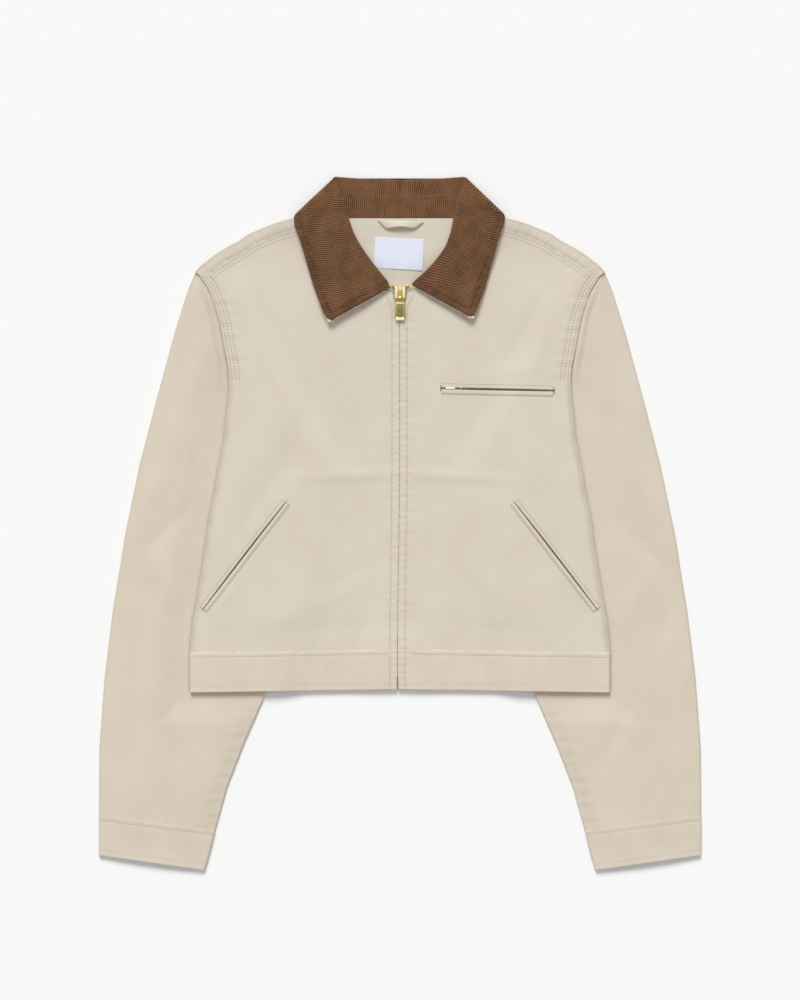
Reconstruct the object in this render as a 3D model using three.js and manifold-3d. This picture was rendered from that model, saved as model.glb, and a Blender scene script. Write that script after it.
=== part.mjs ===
// Chore jacket laid flat on its back, zip closed. Millimetres, +Z up, collar towards +Y.
// X is measured from the centre front, and negative X is the jacket's right side.
import * as THREE from 'three';
import { mergeVertices } from 'three/addons/utils/BufferGeometryUtils.js';
import Module from 'manifold-3d';

const wasm = await Module();
wasm.setup();

// Cloth and gaps
const canvas = 1.2; // wall of the duck canvas
const cord = 1.6; // wall of the corduroy
const bandWall = 1.9; // hem band and cuffs, folded double
const gap = 0.4; // between cloths that lie on each other
const seam = 0.3; // between pieces that are sewn together
const sleeveStack = 2 * canvas + gap; // a sleeve pressed flat
const looseGap = 0.5; // between the fronts and the back
const shoulderStack = 3 * canvas + 2 * looseGap; // back, front and the back's wrap over the shoulder

// Body
const bodyWidth = 441; // across the hem
const hemSeamY = -134.2; // at the centre front
const hemBottomY = -174.3;
const hemDrop = 3.4; // the hem lies lower at the sides
const underarmY = 145;
const frontEdgeX = 0.7; // half the slit between the fronts
const bandEdgeX = 1.1; // half the slit between the ends of the hem band
const backInset = 4.6; // the fronts turn down round the back at the side seams
const armholeLap = 13; // the fronts reach past the back over the sleeve
const shoulderWrap = 13; // width of the back that shows on the front side
const puffRoom = 1.9; // how far the fronts rise off the back
const neckCutX = 68; // half width of the back's cut for the collar
const shoulderTopY = 263; // the side edges end here and the shoulder fold begins

// Where the cloths above rise or settle: distances from an edge, or heights on the body
const overSleeve = { from: 9, to: 46 };
const overFall = { from: 7, to: 36 };
const armholeEase = { below: 12, above: 18 };
const lapFade = { from: 205, to: 256 };
const puffEdge = 62; // the fronts are at full height this far inside the side seam
const puffMiddle = { from: 10, to: 55 };
const puffEnd = { from: 215, to: 285 };
const puffByHem = { height: 45, loss: 0.35 };
const puffShare = 0.75;
const tapeRoom = { plain: 1.1, atHem: 0.9, hemFrom: 6, hemTo: 36, topFrom: 250, topTo: 285, sideTo: 60 };
const turnDownWidth = 3.2;
const hemFadeHeight = 130;

// Collar
const neckY = 320.5; // seam of the collar stand at the back
const rollY = 364; // top of the roll at the centre back
const fallPoint = 281; // lower edge of the fall behind the back, at the centre
const fallSlope = 0.37;
const leafRise = 5.3; // underside of the leaves at their points
const leafLift = 1.8; // what the shoulders add to that
const leafLiftRange = { from: 252, to: 296 };
const underWall = 1; // canvas under the leaves
const fallHalfWidth = 114;
const leafTopHigh = leafRise + leafLift + underWall + seam + cord;
const standLow = cord + gap; // the stand lies on the fall
const standBlend = { below: 1, above: 9 };
const rollInset = 3; // the flat of a leaf begins this far from its roll
const foldInset = 4; // and from the fold over the shoulder
const underCollarInset = { roll: 10, fold: 12, rim: 1 };

// Rows from the hem up: half width at the fronts' outer edge
const sideRows = [
  { y: -134, x: 220.5 },
  { y: -122, x: 219.8 },
  { y: -100, x: 217.3 },
  { y: -76, x: 212.6 },
  { y: -28, x: 204.8 },
  { y: 5, x: 200.6 },
  { y: 29, x: 195.3 },
  { y: 50, x: 192.1 },
  { y: 87, x: 184.8 },
  { y: 130, x: 180.6 },
  { y: 145, x: 179.0 },
  { y: 162, x: 179.8 },
  { y: 187, x: 184.6 },
  { y: 212, x: 189.0 },
  { y: 235, x: 196.4 },
  { y: 247, x: 201.6 },
  { y: 256, x: 206.9 },
  { y: 263, x: 210.5 },
];

// The shoulder fold, from the sleeve to the neck
const shoulderRows = [
  { x: 210.5, y: 270.5 },
  { x: 200, y: 278 },
  { x: 192, y: 284.5 },
  { x: 182, y: 291 },
  { x: 170, y: 297 },
  { x: 159.6, y: 303.5 },
  { x: 146, y: 309.5 },
  { x: 130, y: 315.5 },
  { x: 114, y: 320 },
  { x: 100, y: 322 },
  { x: 85, y: 328 },
  { x: 75, y: 332 },
];

// The fronts' inner edge: the slit, the place of the slider, then the neckline
const neckRows = [
  { y: -134, x: frontEdgeX },
  { y: 226, x: frontEdgeX },
  { y: 234, x: 6.9 },
  { y: 242, x: 7.4 },
  { y: 246, x: 19 },
  { y: 264, x: 35 },
  { y: 273, x: 44.5 },
  { y: 282, x: 52.5 },
  { y: 302, x: 62 },
  { y: 320, x: 66.5 },
];

// Sleeve rings from the armhole to the cuff: outer edge and inner edge
const sleeveRows = [
  { ox: 208, oy: 262, ix: 94.5, iy: 55.6 },
  { ox: 217.5, oy: 256, ix: 95, iy: 45 },
  { ox: 224, oy: 240, ix: 95.5, iy: 30 },
  { ox: 236.3, oy: 202.5, ix: 96.9, iy: 6.2 },
  { ox: 255.8, oy: 130.9, ix: 103, iy: -42.8 },
  { ox: 274.4, oy: 59.1, ix: 114.1, iy: -91 },
  { ox: 289, oy: -13.7, ix: 127.6, iy: -138.6 },
  { ox: 301.2, oy: -86.9, ix: 143.7, iy: -185.3 },
  { ox: 310.4, oy: -160.5, ix: 163.6, iy: -230.6 },
  { ox: 316, oy: -234.5, ix: 181.5, iy: -276.7 },
  { ox: 316.6, oy: -308.4, ix: 194.6, iy: -324.1 },
];
const cuffRows = [
  { ox: 316.8, oy: -308.8, ix: 194.4, iy: -324.6 },
  { ox: 316.8, oy: -329, ix: 199.5, iy: -345 },
  { ox: 316.6, oy: -348.6, ix: 205, iy: -364.4 },
];

// Collar leaves: the roll from the back corner to the zip, then the free edge
const leafRows = {
  left: {
    side: -1,
    corner: { x: -66.6, y: 364.4 },
    shoulder: { x: -111.5, y: 323.5 },
    point: { x: -74.5, y: 211.6 },
    front: { x: -11.5, y: 246.5 },
    roll: [
      { x: -65.6, y: 363 },
      { x: -54.6, y: 322 },
      { x: -45.7, y: 307.2 },
      { x: -29.6, y: 279.9 },
      { x: -11.1, y: 251 },
    ],
  },
  right: {
    side: 1,
    corner: { x: 66.9, y: 364.4 },
    shoulder: { x: 111, y: 323.5 },
    point: { x: 76.1, y: 215.3 },
    front: { x: 13.4, y: 249 },
    roll: [
      { x: 64.9, y: 363 },
      { x: 56.4, y: 321.7 },
      { x: 52.5, y: 304 },
      { x: 42.7, y: 283.1 },
      { x: 12.2, y: 252.6 },
    ],
  },
};

// Soft folds and ridges in the fronts: middle, direction in degrees, half length, half width, height
const foldRows = [
  { x: -52, y: 50, turn: 2, length: 48, width: 9, height: 0.7 },
  { x: 56, y: 49, turn: -3, length: 50, width: 9, height: 0.7 },
  { x: -135, y: 95, turn: 66, length: 80, width: 22, height: 0.6 },
  { x: 140, y: 60, turn: 112, length: 90, width: 20, height: 0.6 },
  { x: -95, y: -85, turn: 24, length: 62, width: 20, height: 0.5 },
  { x: 100, y: -70, turn: 150, length: 66, width: 22, height: 0.5 },
  { x: -120, y: 205, turn: 118, length: 52, width: 18, height: 0.5 },
  { x: 118, y: 212, turn: 64, length: 48, width: 16, height: 0.5 },
];

// Pockets
const handPocket = { topX: 118.7, topY: 22.7, endX: 205.5, endY: -89.5, welt: 6.2, slit: 0.5 };
const chestPocket = { left: 42.5, right: 162.3, leftY: 139.8, rightY: 136.8, upper: 7, lower: 6, slit: 1.5 };
const weltWall = 1.1;
const chestTape = { wall: 0.7, inset: 0.3 };

// Label and hanger loop
const labelWall = 1;
const loopWall = 1.3;
const labelOutline = [
  { x: -27.2, y: 300.8 },
  { x: 25.4, y: 298.4 },
  { x: 23.5, y: 264.6 },
  { x: -22, y: 266.7 },
];
const loopOutline = [
  { x: -23.5, y: 319 },
  { x: 25.5, y: 317 },
  { x: 16.5, y: 310 },
  { x: 3.7, y: 312 },
  { x: -14.7, y: 309.8 },
];

// Main zip
const tapeWidth = 13;
const tapeWall = 0.8;
const tapeRows = [
  { y: -168, inner: 0.5 },
  { y: -134, inner: 0.5 },
  { y: -126, inner: 0.5 },
  { y: 50, inner: 0.5 },
  { y: 226, inner: 0.5 },
  { y: 232.5, inner: 6.6 },
  { y: 247, inner: 6.6 },
];
const slider = { y: 240.6, length: 14, width: 12.2, low: 1.7, high: 4.7 };
const pull = { hingeY: 236.2, hingeZ: 6.1, barRadius: 0.8, top: 9.2, bottom: 11.2, length: 24, wall: 1.5 };
const pullArm = { start: -2.7, end: 0.6, halfWindow: 1.9 };
const pullPanel = { width: 0.5, length: 0.5, depth: 0.4 }; // shares of the pull, and millimetres
const bail = { clearance: 0.4, wall: 0.9, halfWidth: 1.3 };

// Meshes of the cloths
const acrossFront = [0, 0.03, 0.09, 0.17, 0.26, 0.36, 0.46, 0.56, 0.66, 0.76, 0.86, 0.94, 0.984, 0.993, 1];
const backShares = [-1, -0.93, -0.86, -0.79, -0.72, -0.65, -0.58, -0.51, -0.44, -0.36, -0.24, -0.08];
const panelYs = [
  -134, -119, -98, -76, -52, -28, -6, 14, 32, 50, 66, 87, 108, 130, 145, 160, 174, 187, 200,
  212, 226, 234, 242, 246, 255, 264, 273, 282, 289, 296, 304, 312, 320,
];
const ringTop = [0.03, 0.09, 0.19, 0.31, 0.43, 0.55, 0.68, 0.82, 0.97];
const ringBottom = [0.97, 0.74, 0.5, 0.26, 0.03];
const bandFrontXs = [bandEdgeX, 8, 16, 30, 60, 100, 130, 160, 190, 210];
const bandBackXs = [208, 185, 160, 135, 110, 85, 50];
const coarse = 40; // spacing where the cloth is flat
const fine = 14;

// Looks
const canvasLook = { color: 0xdbd2c3, roughness: 0.95, metalness: 0 };
const sleeveLook = { color: 0xd9cebd, roughness: 0.95, metalness: 0 };
const cordLook = { color: 0x6b4d35, roughness: 0.95, metalness: 0 };
const labelLook = { color: 0xe0e4f1, roughness: 0.7, metalness: 0 };
const tapeLook = { color: 0x9a8f72, roughness: 0.9, metalness: 0 };
const brassLook = { color: 0xc9a646, roughness: 0.3, metalness: 1 };

const jacket = new THREE.Group();

function addPiece(name, geometry, look) {
  const piece = new THREE.Mesh(geometry, new THREE.MeshStandardMaterial(look));
  piece.name = name;
  jacket.add(piece);
}

function ease(low, high, value) {
  const t = Math.min(1, Math.max(0, (value - low) / (high - low)));
  return t * t * (3 - 2 * t);
}

function mix(a, b, t) {
  return a + (b - a) * t;
}

// Reads a column of a table between its rows, by the value in another column
function readRows(rows, by, column, value) {
  const up = rows[rows.length - 1][by] > rows[0][by];
  const sorted = up ? rows : [...rows].reverse();
  if (value <= sorted[0][by]) {
    return sorted[0][column];
  }
  for (let i = 1; i < sorted.length; i += 1) {
    if (value <= sorted[i][by]) {
      const t = (value - sorted[i - 1][by]) / (sorted[i][by] - sorted[i - 1][by]);
      return mix(sorted[i - 1][column], sorted[i][column], t);
    }
  }
  return sorted[sorted.length - 1][column];
}

// Rows of a table with steps put in between them
function refineRows(rows, steps) {
  const fine = [];
  for (let i = 0; i < rows.length - 1; i += 1) {
    for (let k = 0; k < steps; k += 1) {
      const row = {};
      for (const key of Object.keys(rows[i])) {
        row[key] = mix(rows[i][key], rows[i + 1][key], k / steps);
      }
      fine.push(row);
    }
  }
  fine.push({ ...rows[rows.length - 1] });
  return fine;
}

function buildGeometry(points, faces) {
  let volume = 0;
  for (const [a, b, c] of faces) {
    const [p, q, r] = [points[a], points[b], points[c]];
    volume += p[0] * (q[1] * r[2] - q[2] * r[1]);
    volume += p[1] * (q[2] * r[0] - q[0] * r[2]);
    volume += p[2] * (q[0] * r[1] - q[1] * r[0]);
  }
  const order = volume > 0 ? faces : faces.map(([a, b, c]) => [a, c, b]);
  const geometry = new THREE.BufferGeometry();
  geometry.setAttribute('position', new THREE.Float32BufferAttribute(points.flat(), 3));
  geometry.setIndex(order.flat());
  return geometry;
}

// A cloth wall between two grids of points, closed along its four edges
function sheetWall(outer, inner) {
  const rows = outer.length;
  const columns = outer[0].length;
  const points = [...outer.flat(), ...inner.flat()];
  const far = rows * columns;
  const at = (i, j) => i * columns + j;
  const faces = [];
  const quad = (a, b, c, d) => faces.push([a, b, c], [a, c, d]);
  for (let i = 0; i < rows - 1; i += 1) {
    for (let j = 0; j < columns - 1; j += 1) {
      quad(at(i, j), at(i + 1, j), at(i + 1, j + 1), at(i, j + 1));
      quad(far + at(i, j), far + at(i, j + 1), far + at(i + 1, j + 1), far + at(i + 1, j));
    }
    quad(at(i, 0), far + at(i, 0), far + at(i + 1, 0), at(i + 1, 0));
    const last = columns - 1;
    quad(at(i, last), at(i + 1, last), far + at(i + 1, last), far + at(i, last));
  }
  for (let j = 0; j < columns - 1; j += 1) {
    quad(at(0, j), at(0, j + 1), far + at(0, j + 1), far + at(0, j));
    const end = rows - 1;
    quad(at(end, j), far + at(end, j), far + at(end, j + 1), at(end, j + 1));
  }
  return buildGeometry(points, faces);
}

// A tube of cloth between two sets of rings, open at both ends
function tubeWall(outer, inner) {
  const rows = outer.length;
  const around = outer[0].length;
  const points = [...outer.flat(), ...inner.flat()];
  const far = rows * around;
  const at = (i, j) => i * around + (j % around);
  const faces = [];
  const quad = (a, b, c, d) => faces.push([a, b, c], [a, c, d]);
  for (let j = 0; j < around; j += 1) {
    for (let i = 0; i < rows - 1; i += 1) {
      quad(at(i, j), at(i + 1, j), at(i + 1, j + 1), at(i, j + 1));
      quad(far + at(i, j), far + at(i, j + 1), far + at(i + 1, j + 1), far + at(i + 1, j));
    }
    const end = rows - 1;
    quad(at(0, j), at(0, j + 1), far + at(0, j + 1), far + at(0, j));
    quad(at(end, j), far + at(end, j), far + at(end, j + 1), at(end, j + 1));
  }
  return buildGeometry(points, faces);
}

// A bar through a row of closed sections
function sectionBar(sections) {
  const rows = sections.length;
  const around = sections[0].length;
  const points = sections.flat();
  const faces = [];
  for (let i = 0; i < rows - 1; i += 1) {
    for (let j = 0; j < around; j += 1) {
      const next = (j + 1) % around;
      const [a, b, c, d] = [i * around + j, (i + 1) * around + j, (i + 1) * around + next, i * around + next];
      faces.push([a, b, c], [a, c, d]);
    }
  }
  for (let j = 1; j < around - 1; j += 1) {
    faces.push([0, j, j + 1]);
    const end = (rows - 1) * around;
    faces.push([end, end + j + 1, end + j]);
  }
  return buildGeometry(points, faces);
}

function toSolid(geometry) {
  const bare = geometry.clone();
  bare.deleteAttribute('normal');
  bare.deleteAttribute('uv');
  const merged = mergeVertices(bare, 1e-4);
  const mesh = new wasm.Mesh({
    numProp: 3,
    vertProperties: new Float32Array(merged.attributes.position.array),
    triVerts: new Uint32Array(merged.index.array),
  });
  return new wasm.Manifold(mesh);
}

function toGeometry(solid) {
  const mesh = solid.getMesh();
  const geometry = new THREE.BufferGeometry();
  geometry.setAttribute('position', new THREE.BufferAttribute(new Float32Array(mesh.vertProperties), 3));
  geometry.setIndex(Array.from(mesh.triVerts));
  return geometry;
}

// A straight-sided block over an outline, used to cut cloth to shape
function outlineBlock(outline, low, high) {
  const shape = new THREE.Shape(outline.map((p) => new THREE.Vector2(p.x, p.y)));
  const geometry = new THREE.ExtrudeGeometry(shape, { depth: high - low, bevelEnabled: false });
  geometry.translate(0, 0, low);
  return toSolid(geometry);
}

// The same points, higher by the wall of a cloth
function raisePoints(line, wall) {
  return line.map(([x, y, z]) => [x, y, z + wall]);
}

// A cloth cut to an outline that lies on an uneven place: under gives its underside
function cutCloth(outline, under, wall, cell) {
  const xs = outline.map((p) => p.x);
  const ys = outline.map((p) => p.y);
  const [x0, x1] = [Math.min(...xs) - 1, Math.max(...xs) + 1];
  const [y0, y1] = [Math.min(...ys) - 1, Math.max(...ys) + 1];
  const rows = Math.max(1, Math.round((y1 - y0) / cell));
  const columns = Math.max(1, Math.round((x1 - x0) / cell));
  const top = [];
  const bottom = [];
  for (let i = 0; i <= rows; i += 1) {
    const y = mix(y0, y1, i / rows);
    const line = [];
    for (let j = 0; j <= columns; j += 1) {
      const x = mix(x0, x1, j / columns);
      line.push([x, y, under(x, y)]);
    }
    bottom.push(line);
    top.push(raisePoints(line, wall));
  }
  const slab = toSolid(sheetWall(top, bottom));
  return slab.intersect(outlineBlock(outline, -5, 40));
}

// How the body is lifted by what lies under it: the sleeves at the sides, the fall at the neck
function sleeveEdge(y) {
  const first = sleeveRows[0];
  if (y > first.iy) {
    return mix(first.ix, first.ox, Math.min(1, (y - first.iy) / (first.oy - first.iy)));
  }
  return readRows(sleeveRows, 'iy', 'ix', y);
}

function bodyBase(x, y) {
  const reach = Math.abs(x);
  const bySleeve = (sleeveStack + gap) * (1 - ease(overSleeve.from, overSleeve.to, sleeveEdge(y) - reach));
  const fallEdge = Math.max(fallPoint + fallSlope * reach - y, reach - fallHalfWidth);
  const byFall = (cord + gap) * (1 - ease(overFall.from, overFall.to, fallEdge));
  return bySleeve + byFall;
}

function folds(x, y) {
  let height = 0;
  for (const fold of foldRows) {
    const angle = THREE.MathUtils.degToRad(fold.turn);
    const dx = x - fold.x;
    const dy = y - fold.y;
    const along = (dx * Math.cos(angle) + dy * Math.sin(angle)) / fold.length;
    const across = (dy * Math.cos(angle) - dx * Math.sin(angle)) / fold.width;
    height += fold.height * Math.exp(-along * along - across * across);
  }
  return height;
}

function frontEdge(y) {
  if (y > sideRows[sideRows.length - 1].y) {
    return readRows(shoulderRows, 'y', 'x', y + 8);
  }
  return readRows(sideRows, 'y', 'x', y);
}

function aboveUnderarm(y) {
  return ease(underarmY - armholeEase.below, underarmY + armholeEase.above, y);
}

// Underside of the fronts above the back
function frontUnder(x, y) {
  const reach = Math.abs(x);
  const fromSide = frontEdge(y) - reach;
  const flatTop = 1 - ease(puffEnd.from, puffEnd.to, y);
  const nearHem = 1 - ease(hemSeamY, hemSeamY + puffByHem.height, y);
  const soft = ease(0, puffEdge, fromSide) * flatTop;
  const puffed = soft * (puffShare * puffRoom * (1 - puffByHem.loss * nearHem) + folds(x, y));
  const atHem = 1 - ease(hemSeamY + tapeRoom.hemFrom, hemSeamY + tapeRoom.hemTo, y);
  const belowNeck = 1 - ease(tapeRoom.topFrom, tapeRoom.topTo, y);
  const byTape = 1 - ease(tapeWidth + 2, tapeRoom.sideTo, reach);
  const overTape = (tapeRoom.plain + tapeRoom.atHem * atHem) * belowNeck * byTape;
  const room = looseGap + Math.max(puffed * ease(puffMiddle.from, puffMiddle.to, reach), overTape);
  const turned = (1 - ease(0, turnDownWidth, fromSide)) * (1 - aboveUnderarm(y));
  const turnDown = (canvas + looseGap - 0.1) * turned;
  return bodyBase(x, y) + canvas + room - turnDown;
}

function frontTop(x, y) {
  return frontUnder(x, y) + canvas;
}

function hemFade(y) {
  return 1 - ease(hemSeamY, hemSeamY + hemFadeHeight, y);
}

function leafUnder(y) {
  return leafRise + leafLift * ease(leafLiftRange.from, leafLiftRange.to, y);
}

function buildFront(side) {
  const top = [];
  const bottom = [];
  for (const rowY of panelYs) {
    const inner = readRows(neckRows, 'y', 'x', rowY);
    const outer = frontEdge(rowY);
    const line = acrossFront.map((t) => {
      const reach = mix(inner, outer, t);
      const y = rowY - hemDrop * hemFade(rowY) * (reach / bodyWidth) * 2;
      return [side * reach, y, frontUnder(side * reach, rowY)];
    });
    bottom.push(line);
    top.push(raisePoints(line, canvas));
  }
  return sheetWall(top, bottom);
}

function backEdge(y) {
  if (y > shoulderTopY) {
    return readRows(shoulderRows, 'y', 'x', y + 3);
  }
  const lap = mix(backInset, armholeLap, aboveUnderarm(y) * (1 - ease(lapFade.from, lapFade.to, y)));
  return frontEdge(y) - lap;
}

function shoulderWrapWall(side) {
  const half = shoulderStack / 2;
  const outer = [];
  const inner = [];
  shoulderRows.forEach((row, i) => {
    const before = shoulderRows[Math.max(0, i - 1)];
    const after = shoulderRows[Math.min(shoulderRows.length - 1, i + 1)];
    const length = Math.hypot(after.x - before.x, after.y - before.y);
    const inX = (before.y - after.y) / length;
    const inY = (after.x - before.x) / length;
    const place = (depth, z) => {
      const x = row.x + inX * depth;
      const y = row.y + inY * depth;
      return [side * x, y, z + bodyBase(x, y)];
    };
    const makeLine = (radius, trim) => {
      const line = [place(10, half - radius + trim)];
      for (let k = 0; k <= 5; k += 1) {
        const angle = (k / 5) * Math.PI;
        line.push(place(half - radius * Math.sin(angle), half - radius * Math.cos(angle)));
      }
      line.push(place(shoulderWrap, half + radius));
      return line;
    };
    outer.push(makeLine(half, 0.1));
    inner.push(makeLine(half - canvas, -0.1));
  });
  return toSolid(sheetWall(outer, inner));
}

function buildBack() {
  const backYs = [...panelYs, 326, 331];
  const columns = [...backShares, ...backShares.map((t) => -t).reverse()];
  const top = [];
  const bottom = [];
  for (const rowY of backYs) {
    const edge = backEdge(rowY);
    const line = columns.map((t) => {
      const x = edge * t;
      const y = rowY - hemDrop * hemFade(rowY) * (Math.abs(x) / bodyWidth) * 2;
      return [x, y, bodyBase(x, rowY)];
    });
    bottom.push(line);
    top.push(raisePoints(line, canvas));
  }
  const neck = [{ x: -neckCutX, y: 345 }, { x: -neckCutX, y: neckY - seam }];
  const neckOutline = [...neck, ...neck.map((p) => ({ x: -p.x, y: p.y })).reverse()];
  const plain = toSolid(sheetWall(top, bottom)).subtract(outlineBlock(neckOutline, -5, 30));
  return toGeometry(plain.add(shoulderWrapWall(-1)).add(shoulderWrapWall(1)));
}

// A flattened ring of cloth: along the top from the outer edge, round, and back underneath
function flatRing(row, side, wall, inset, puff) {
  const width = Math.hypot(row.ix - row.ox, row.iy - row.oy);
  const half = (2 * wall + gap) / 2;
  const radius = half - inset;
  const place = (reach, z) => {
    const t = reach / width;
    return [side * mix(row.ox, row.ix, t), mix(row.oy, row.iy, t), z];
  };
  const ring = [];
  for (let k = 1; k < 4; k += 1) {
    const angle = (k / 4) * Math.PI;
    ring.push(place(half - radius * Math.sin(angle), half - radius * Math.cos(angle)));
  }
  for (const t of ringTop) {
    const x = mix(row.ox, row.ix, t);
    const y = mix(row.oy, row.iy, t);
    ring.push(place(t * width, half + radius + puff(x, y, t)));
  }
  for (let k = 1; k < 4; k += 1) {
    const angle = (k / 4) * Math.PI;
    ring.push(place(width - half + radius * Math.sin(angle), half + radius * Math.cos(angle)));
  }
  for (const t of ringBottom) {
    ring.push(place(t * width, half - radius));
  }
  return ring;
}

function sleevePuff(x, y, t) {
  const belowHem = hemBottomY - hemDrop - y;
  const bodySide = frontEdge(Math.max(y, hemSeamY));
  const clear = Math.max(x - bodySide, belowHem);
  const outside = ease(6, 38, clear);
  const atArmhole = y > underarmY ? ease(3, 13, x - backEdge(Math.min(y, shoulderTopY))) : outside;
  const byArmhole = ease(underarmY + 14, underarmY + 42, y);
  const shape = Math.pow(Math.sin(Math.PI * t), 0.6);
  return shape * (1.6 * mix(outside, atArmhole, byArmhole) + 1.4 * outside);
}

function buildTube(rows, side, wall, puff) {
  const outer = rows.map((row) => flatRing(row, side, wall, 0, puff));
  const inner = rows.map((row) => flatRing(row, side, wall, wall, puff));
  return tubeWall(outer, inner);
}

// The hem band runs from one front edge round the back to the other
function buildHemBand() {
  const half = bandWall + gap / 2;
  const halfWidth = bodyWidth / 2;
  const turn = [0, 30, 60, 90, 120, 150, 180].map((angle) => THREE.MathUtils.degToRad(angle));
  const rise = (reach) => {
    const overTape = tapeRoom.plain * (1 - ease(tapeWidth + 2, tapeRoom.sideTo, reach));
    return overTape + 0.5 * Math.sin((reach / halfWidth) * Math.PI);
  };
  const bandRow = (t, inset) => {
    const place = (x, z) => {
      const drop = hemDrop * Math.min(1, Math.abs(x) / halfWidth);
      const y = mix(hemSeamY - seam - 0.1, hemBottomY, t) - drop;
      const lift = bodyBase(Math.min(Math.abs(x), halfWidth - 4), mix(hemSeamY, hemBottomY, t));
      return [x, y, z + lift];
    };
    const leftHalf = [];
    for (const x of bandFrontXs) {
      leftHalf.push(place(-x, half * 2 - inset + rise(x)));
    }
    for (const angle of turn) {
      const radius = half - inset;
      leftHalf.push(place(-(halfWidth - half + radius * Math.sin(angle)), half + radius * Math.cos(angle)));
    }
    for (const x of bandBackXs) {
      leftHalf.push(place(-x, inset));
    }
    const mirrored = leftHalf.map(([x, y, z]) => [-x, y, z]).reverse();
    return [...leftHalf, place(0, inset), ...mirrored];
  };
  const steps = [0, 0.25, 0.5, 0.75, 1];
  return sheetWall(steps.map((t) => bandRow(t, 0)), steps.map((t) => bandRow(t, bandWall)));
}

// Collar: a half round along a line, from one height to another, that joins two layers
function rollBar(line, lows, highs, outward, tuck) {
  const sections = line.map((p, i) => {
    const before = line[Math.max(0, i - 1)];
    const after = line[Math.min(line.length - 1, i + 1)];
    const length = Math.hypot(after.x - before.x, after.y - before.y);
    const nx = (outward * (after.y - before.y)) / length;
    const ny = (outward * (before.x - after.x)) / length;
    const radius = (highs[i] - lows[i]) / 2;
    const middle = (highs[i] + lows[i]) / 2;
    const ring = [];
    for (let k = 0; k <= 8; k += 1) {
      const angle = (k / 8) * Math.PI;
      const out = radius * Math.sin(angle) - radius;
      ring.push([p.x + nx * out, p.y + ny * out, middle + radius * Math.cos(angle)]);
    }
    const back = -radius - tuck;
    ring.push([p.x + nx * back, p.y + ny * back, lows[i]]);
    ring.push([p.x + nx * back, p.y + ny * back, highs[i]]);
    return ring;
  });
  return toSolid(sectionBar(sections));
}

// The fall folds round the shoulder between the leaf and the layer behind the back
function shoulderFold(leaf, high, wall) {
  const half = high / 2;
  const { corner, shoulder } = leaf;
  const length = Math.hypot(shoulder.x - corner.x, shoulder.y - corner.y);
  const inX = (-leaf.side * (corner.y - shoulder.y)) / length;
  const inY = (-Math.abs(corner.x - shoulder.x)) / length;
  const outer = [];
  const inner = [];
  for (let i = 0; i <= 6; i += 1) {
    const x = mix(corner.x, shoulder.x, i / 6);
    const y = mix(corner.y, shoulder.y, i / 6);
    const makeLine = (radius, trim) => {
      const line = [[x + inX * (half + foldInset), y + inY * (half + foldInset), half - radius + trim]];
      for (let k = 0; k <= 8; k += 1) {
        const angle = (k / 8) * Math.PI;
        const depth = half - radius * Math.sin(angle);
        line.push([x + inX * depth, y + inY * depth, half - radius * Math.cos(angle)]);
      }
      line.push([x + inX * (half + foldInset), y + inY * (half + foldInset), half + radius - trim]);
      return line;
    };
    outer.push(makeLine(half, 0.1));
    inner.push(makeLine(half - wall, -0.1));
  }
  return toSolid(sheetWall(outer, inner));
}

function standUnder(x, y) {
  const overBack = bodyBase(x, y) + canvas + gap;
  return mix(overBack, standLow, ease(neckY - standBlend.below, neckY + standBlend.above, y));
}

function leafCordUnder(y) {
  return leafUnder(y) + underWall + seam;
}

function leafOutline(leaf, fromRoll, fromFold, grow) {
  const s = leaf.side;
  const inner = leaf.roll.map((p) => ({ x: p.x + s * fromRoll, y: p.y }));
  return [
    { x: leaf.corner.x + s * fromRoll * 0.4, y: leaf.corner.y - fromFold * 1.5 },
    { x: leaf.shoulder.x - s * fromFold * 0.9, y: leaf.shoulder.y - fromFold * 0.4 },
    { x: leaf.shoulder.x + s * grow * 0.6, y: leaf.shoulder.y - 6 },
    { x: leaf.point.x + s * (1.5 + grow), y: leaf.point.y + 3 },
    { x: leaf.point.x - s * 1.5, y: leaf.point.y - grow * 1.2 },
    { x: leaf.front.x + s * (fromRoll - rollInset), y: leaf.front.y - grow },
    ...inner.slice(1).reverse(),
  ];
}

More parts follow.
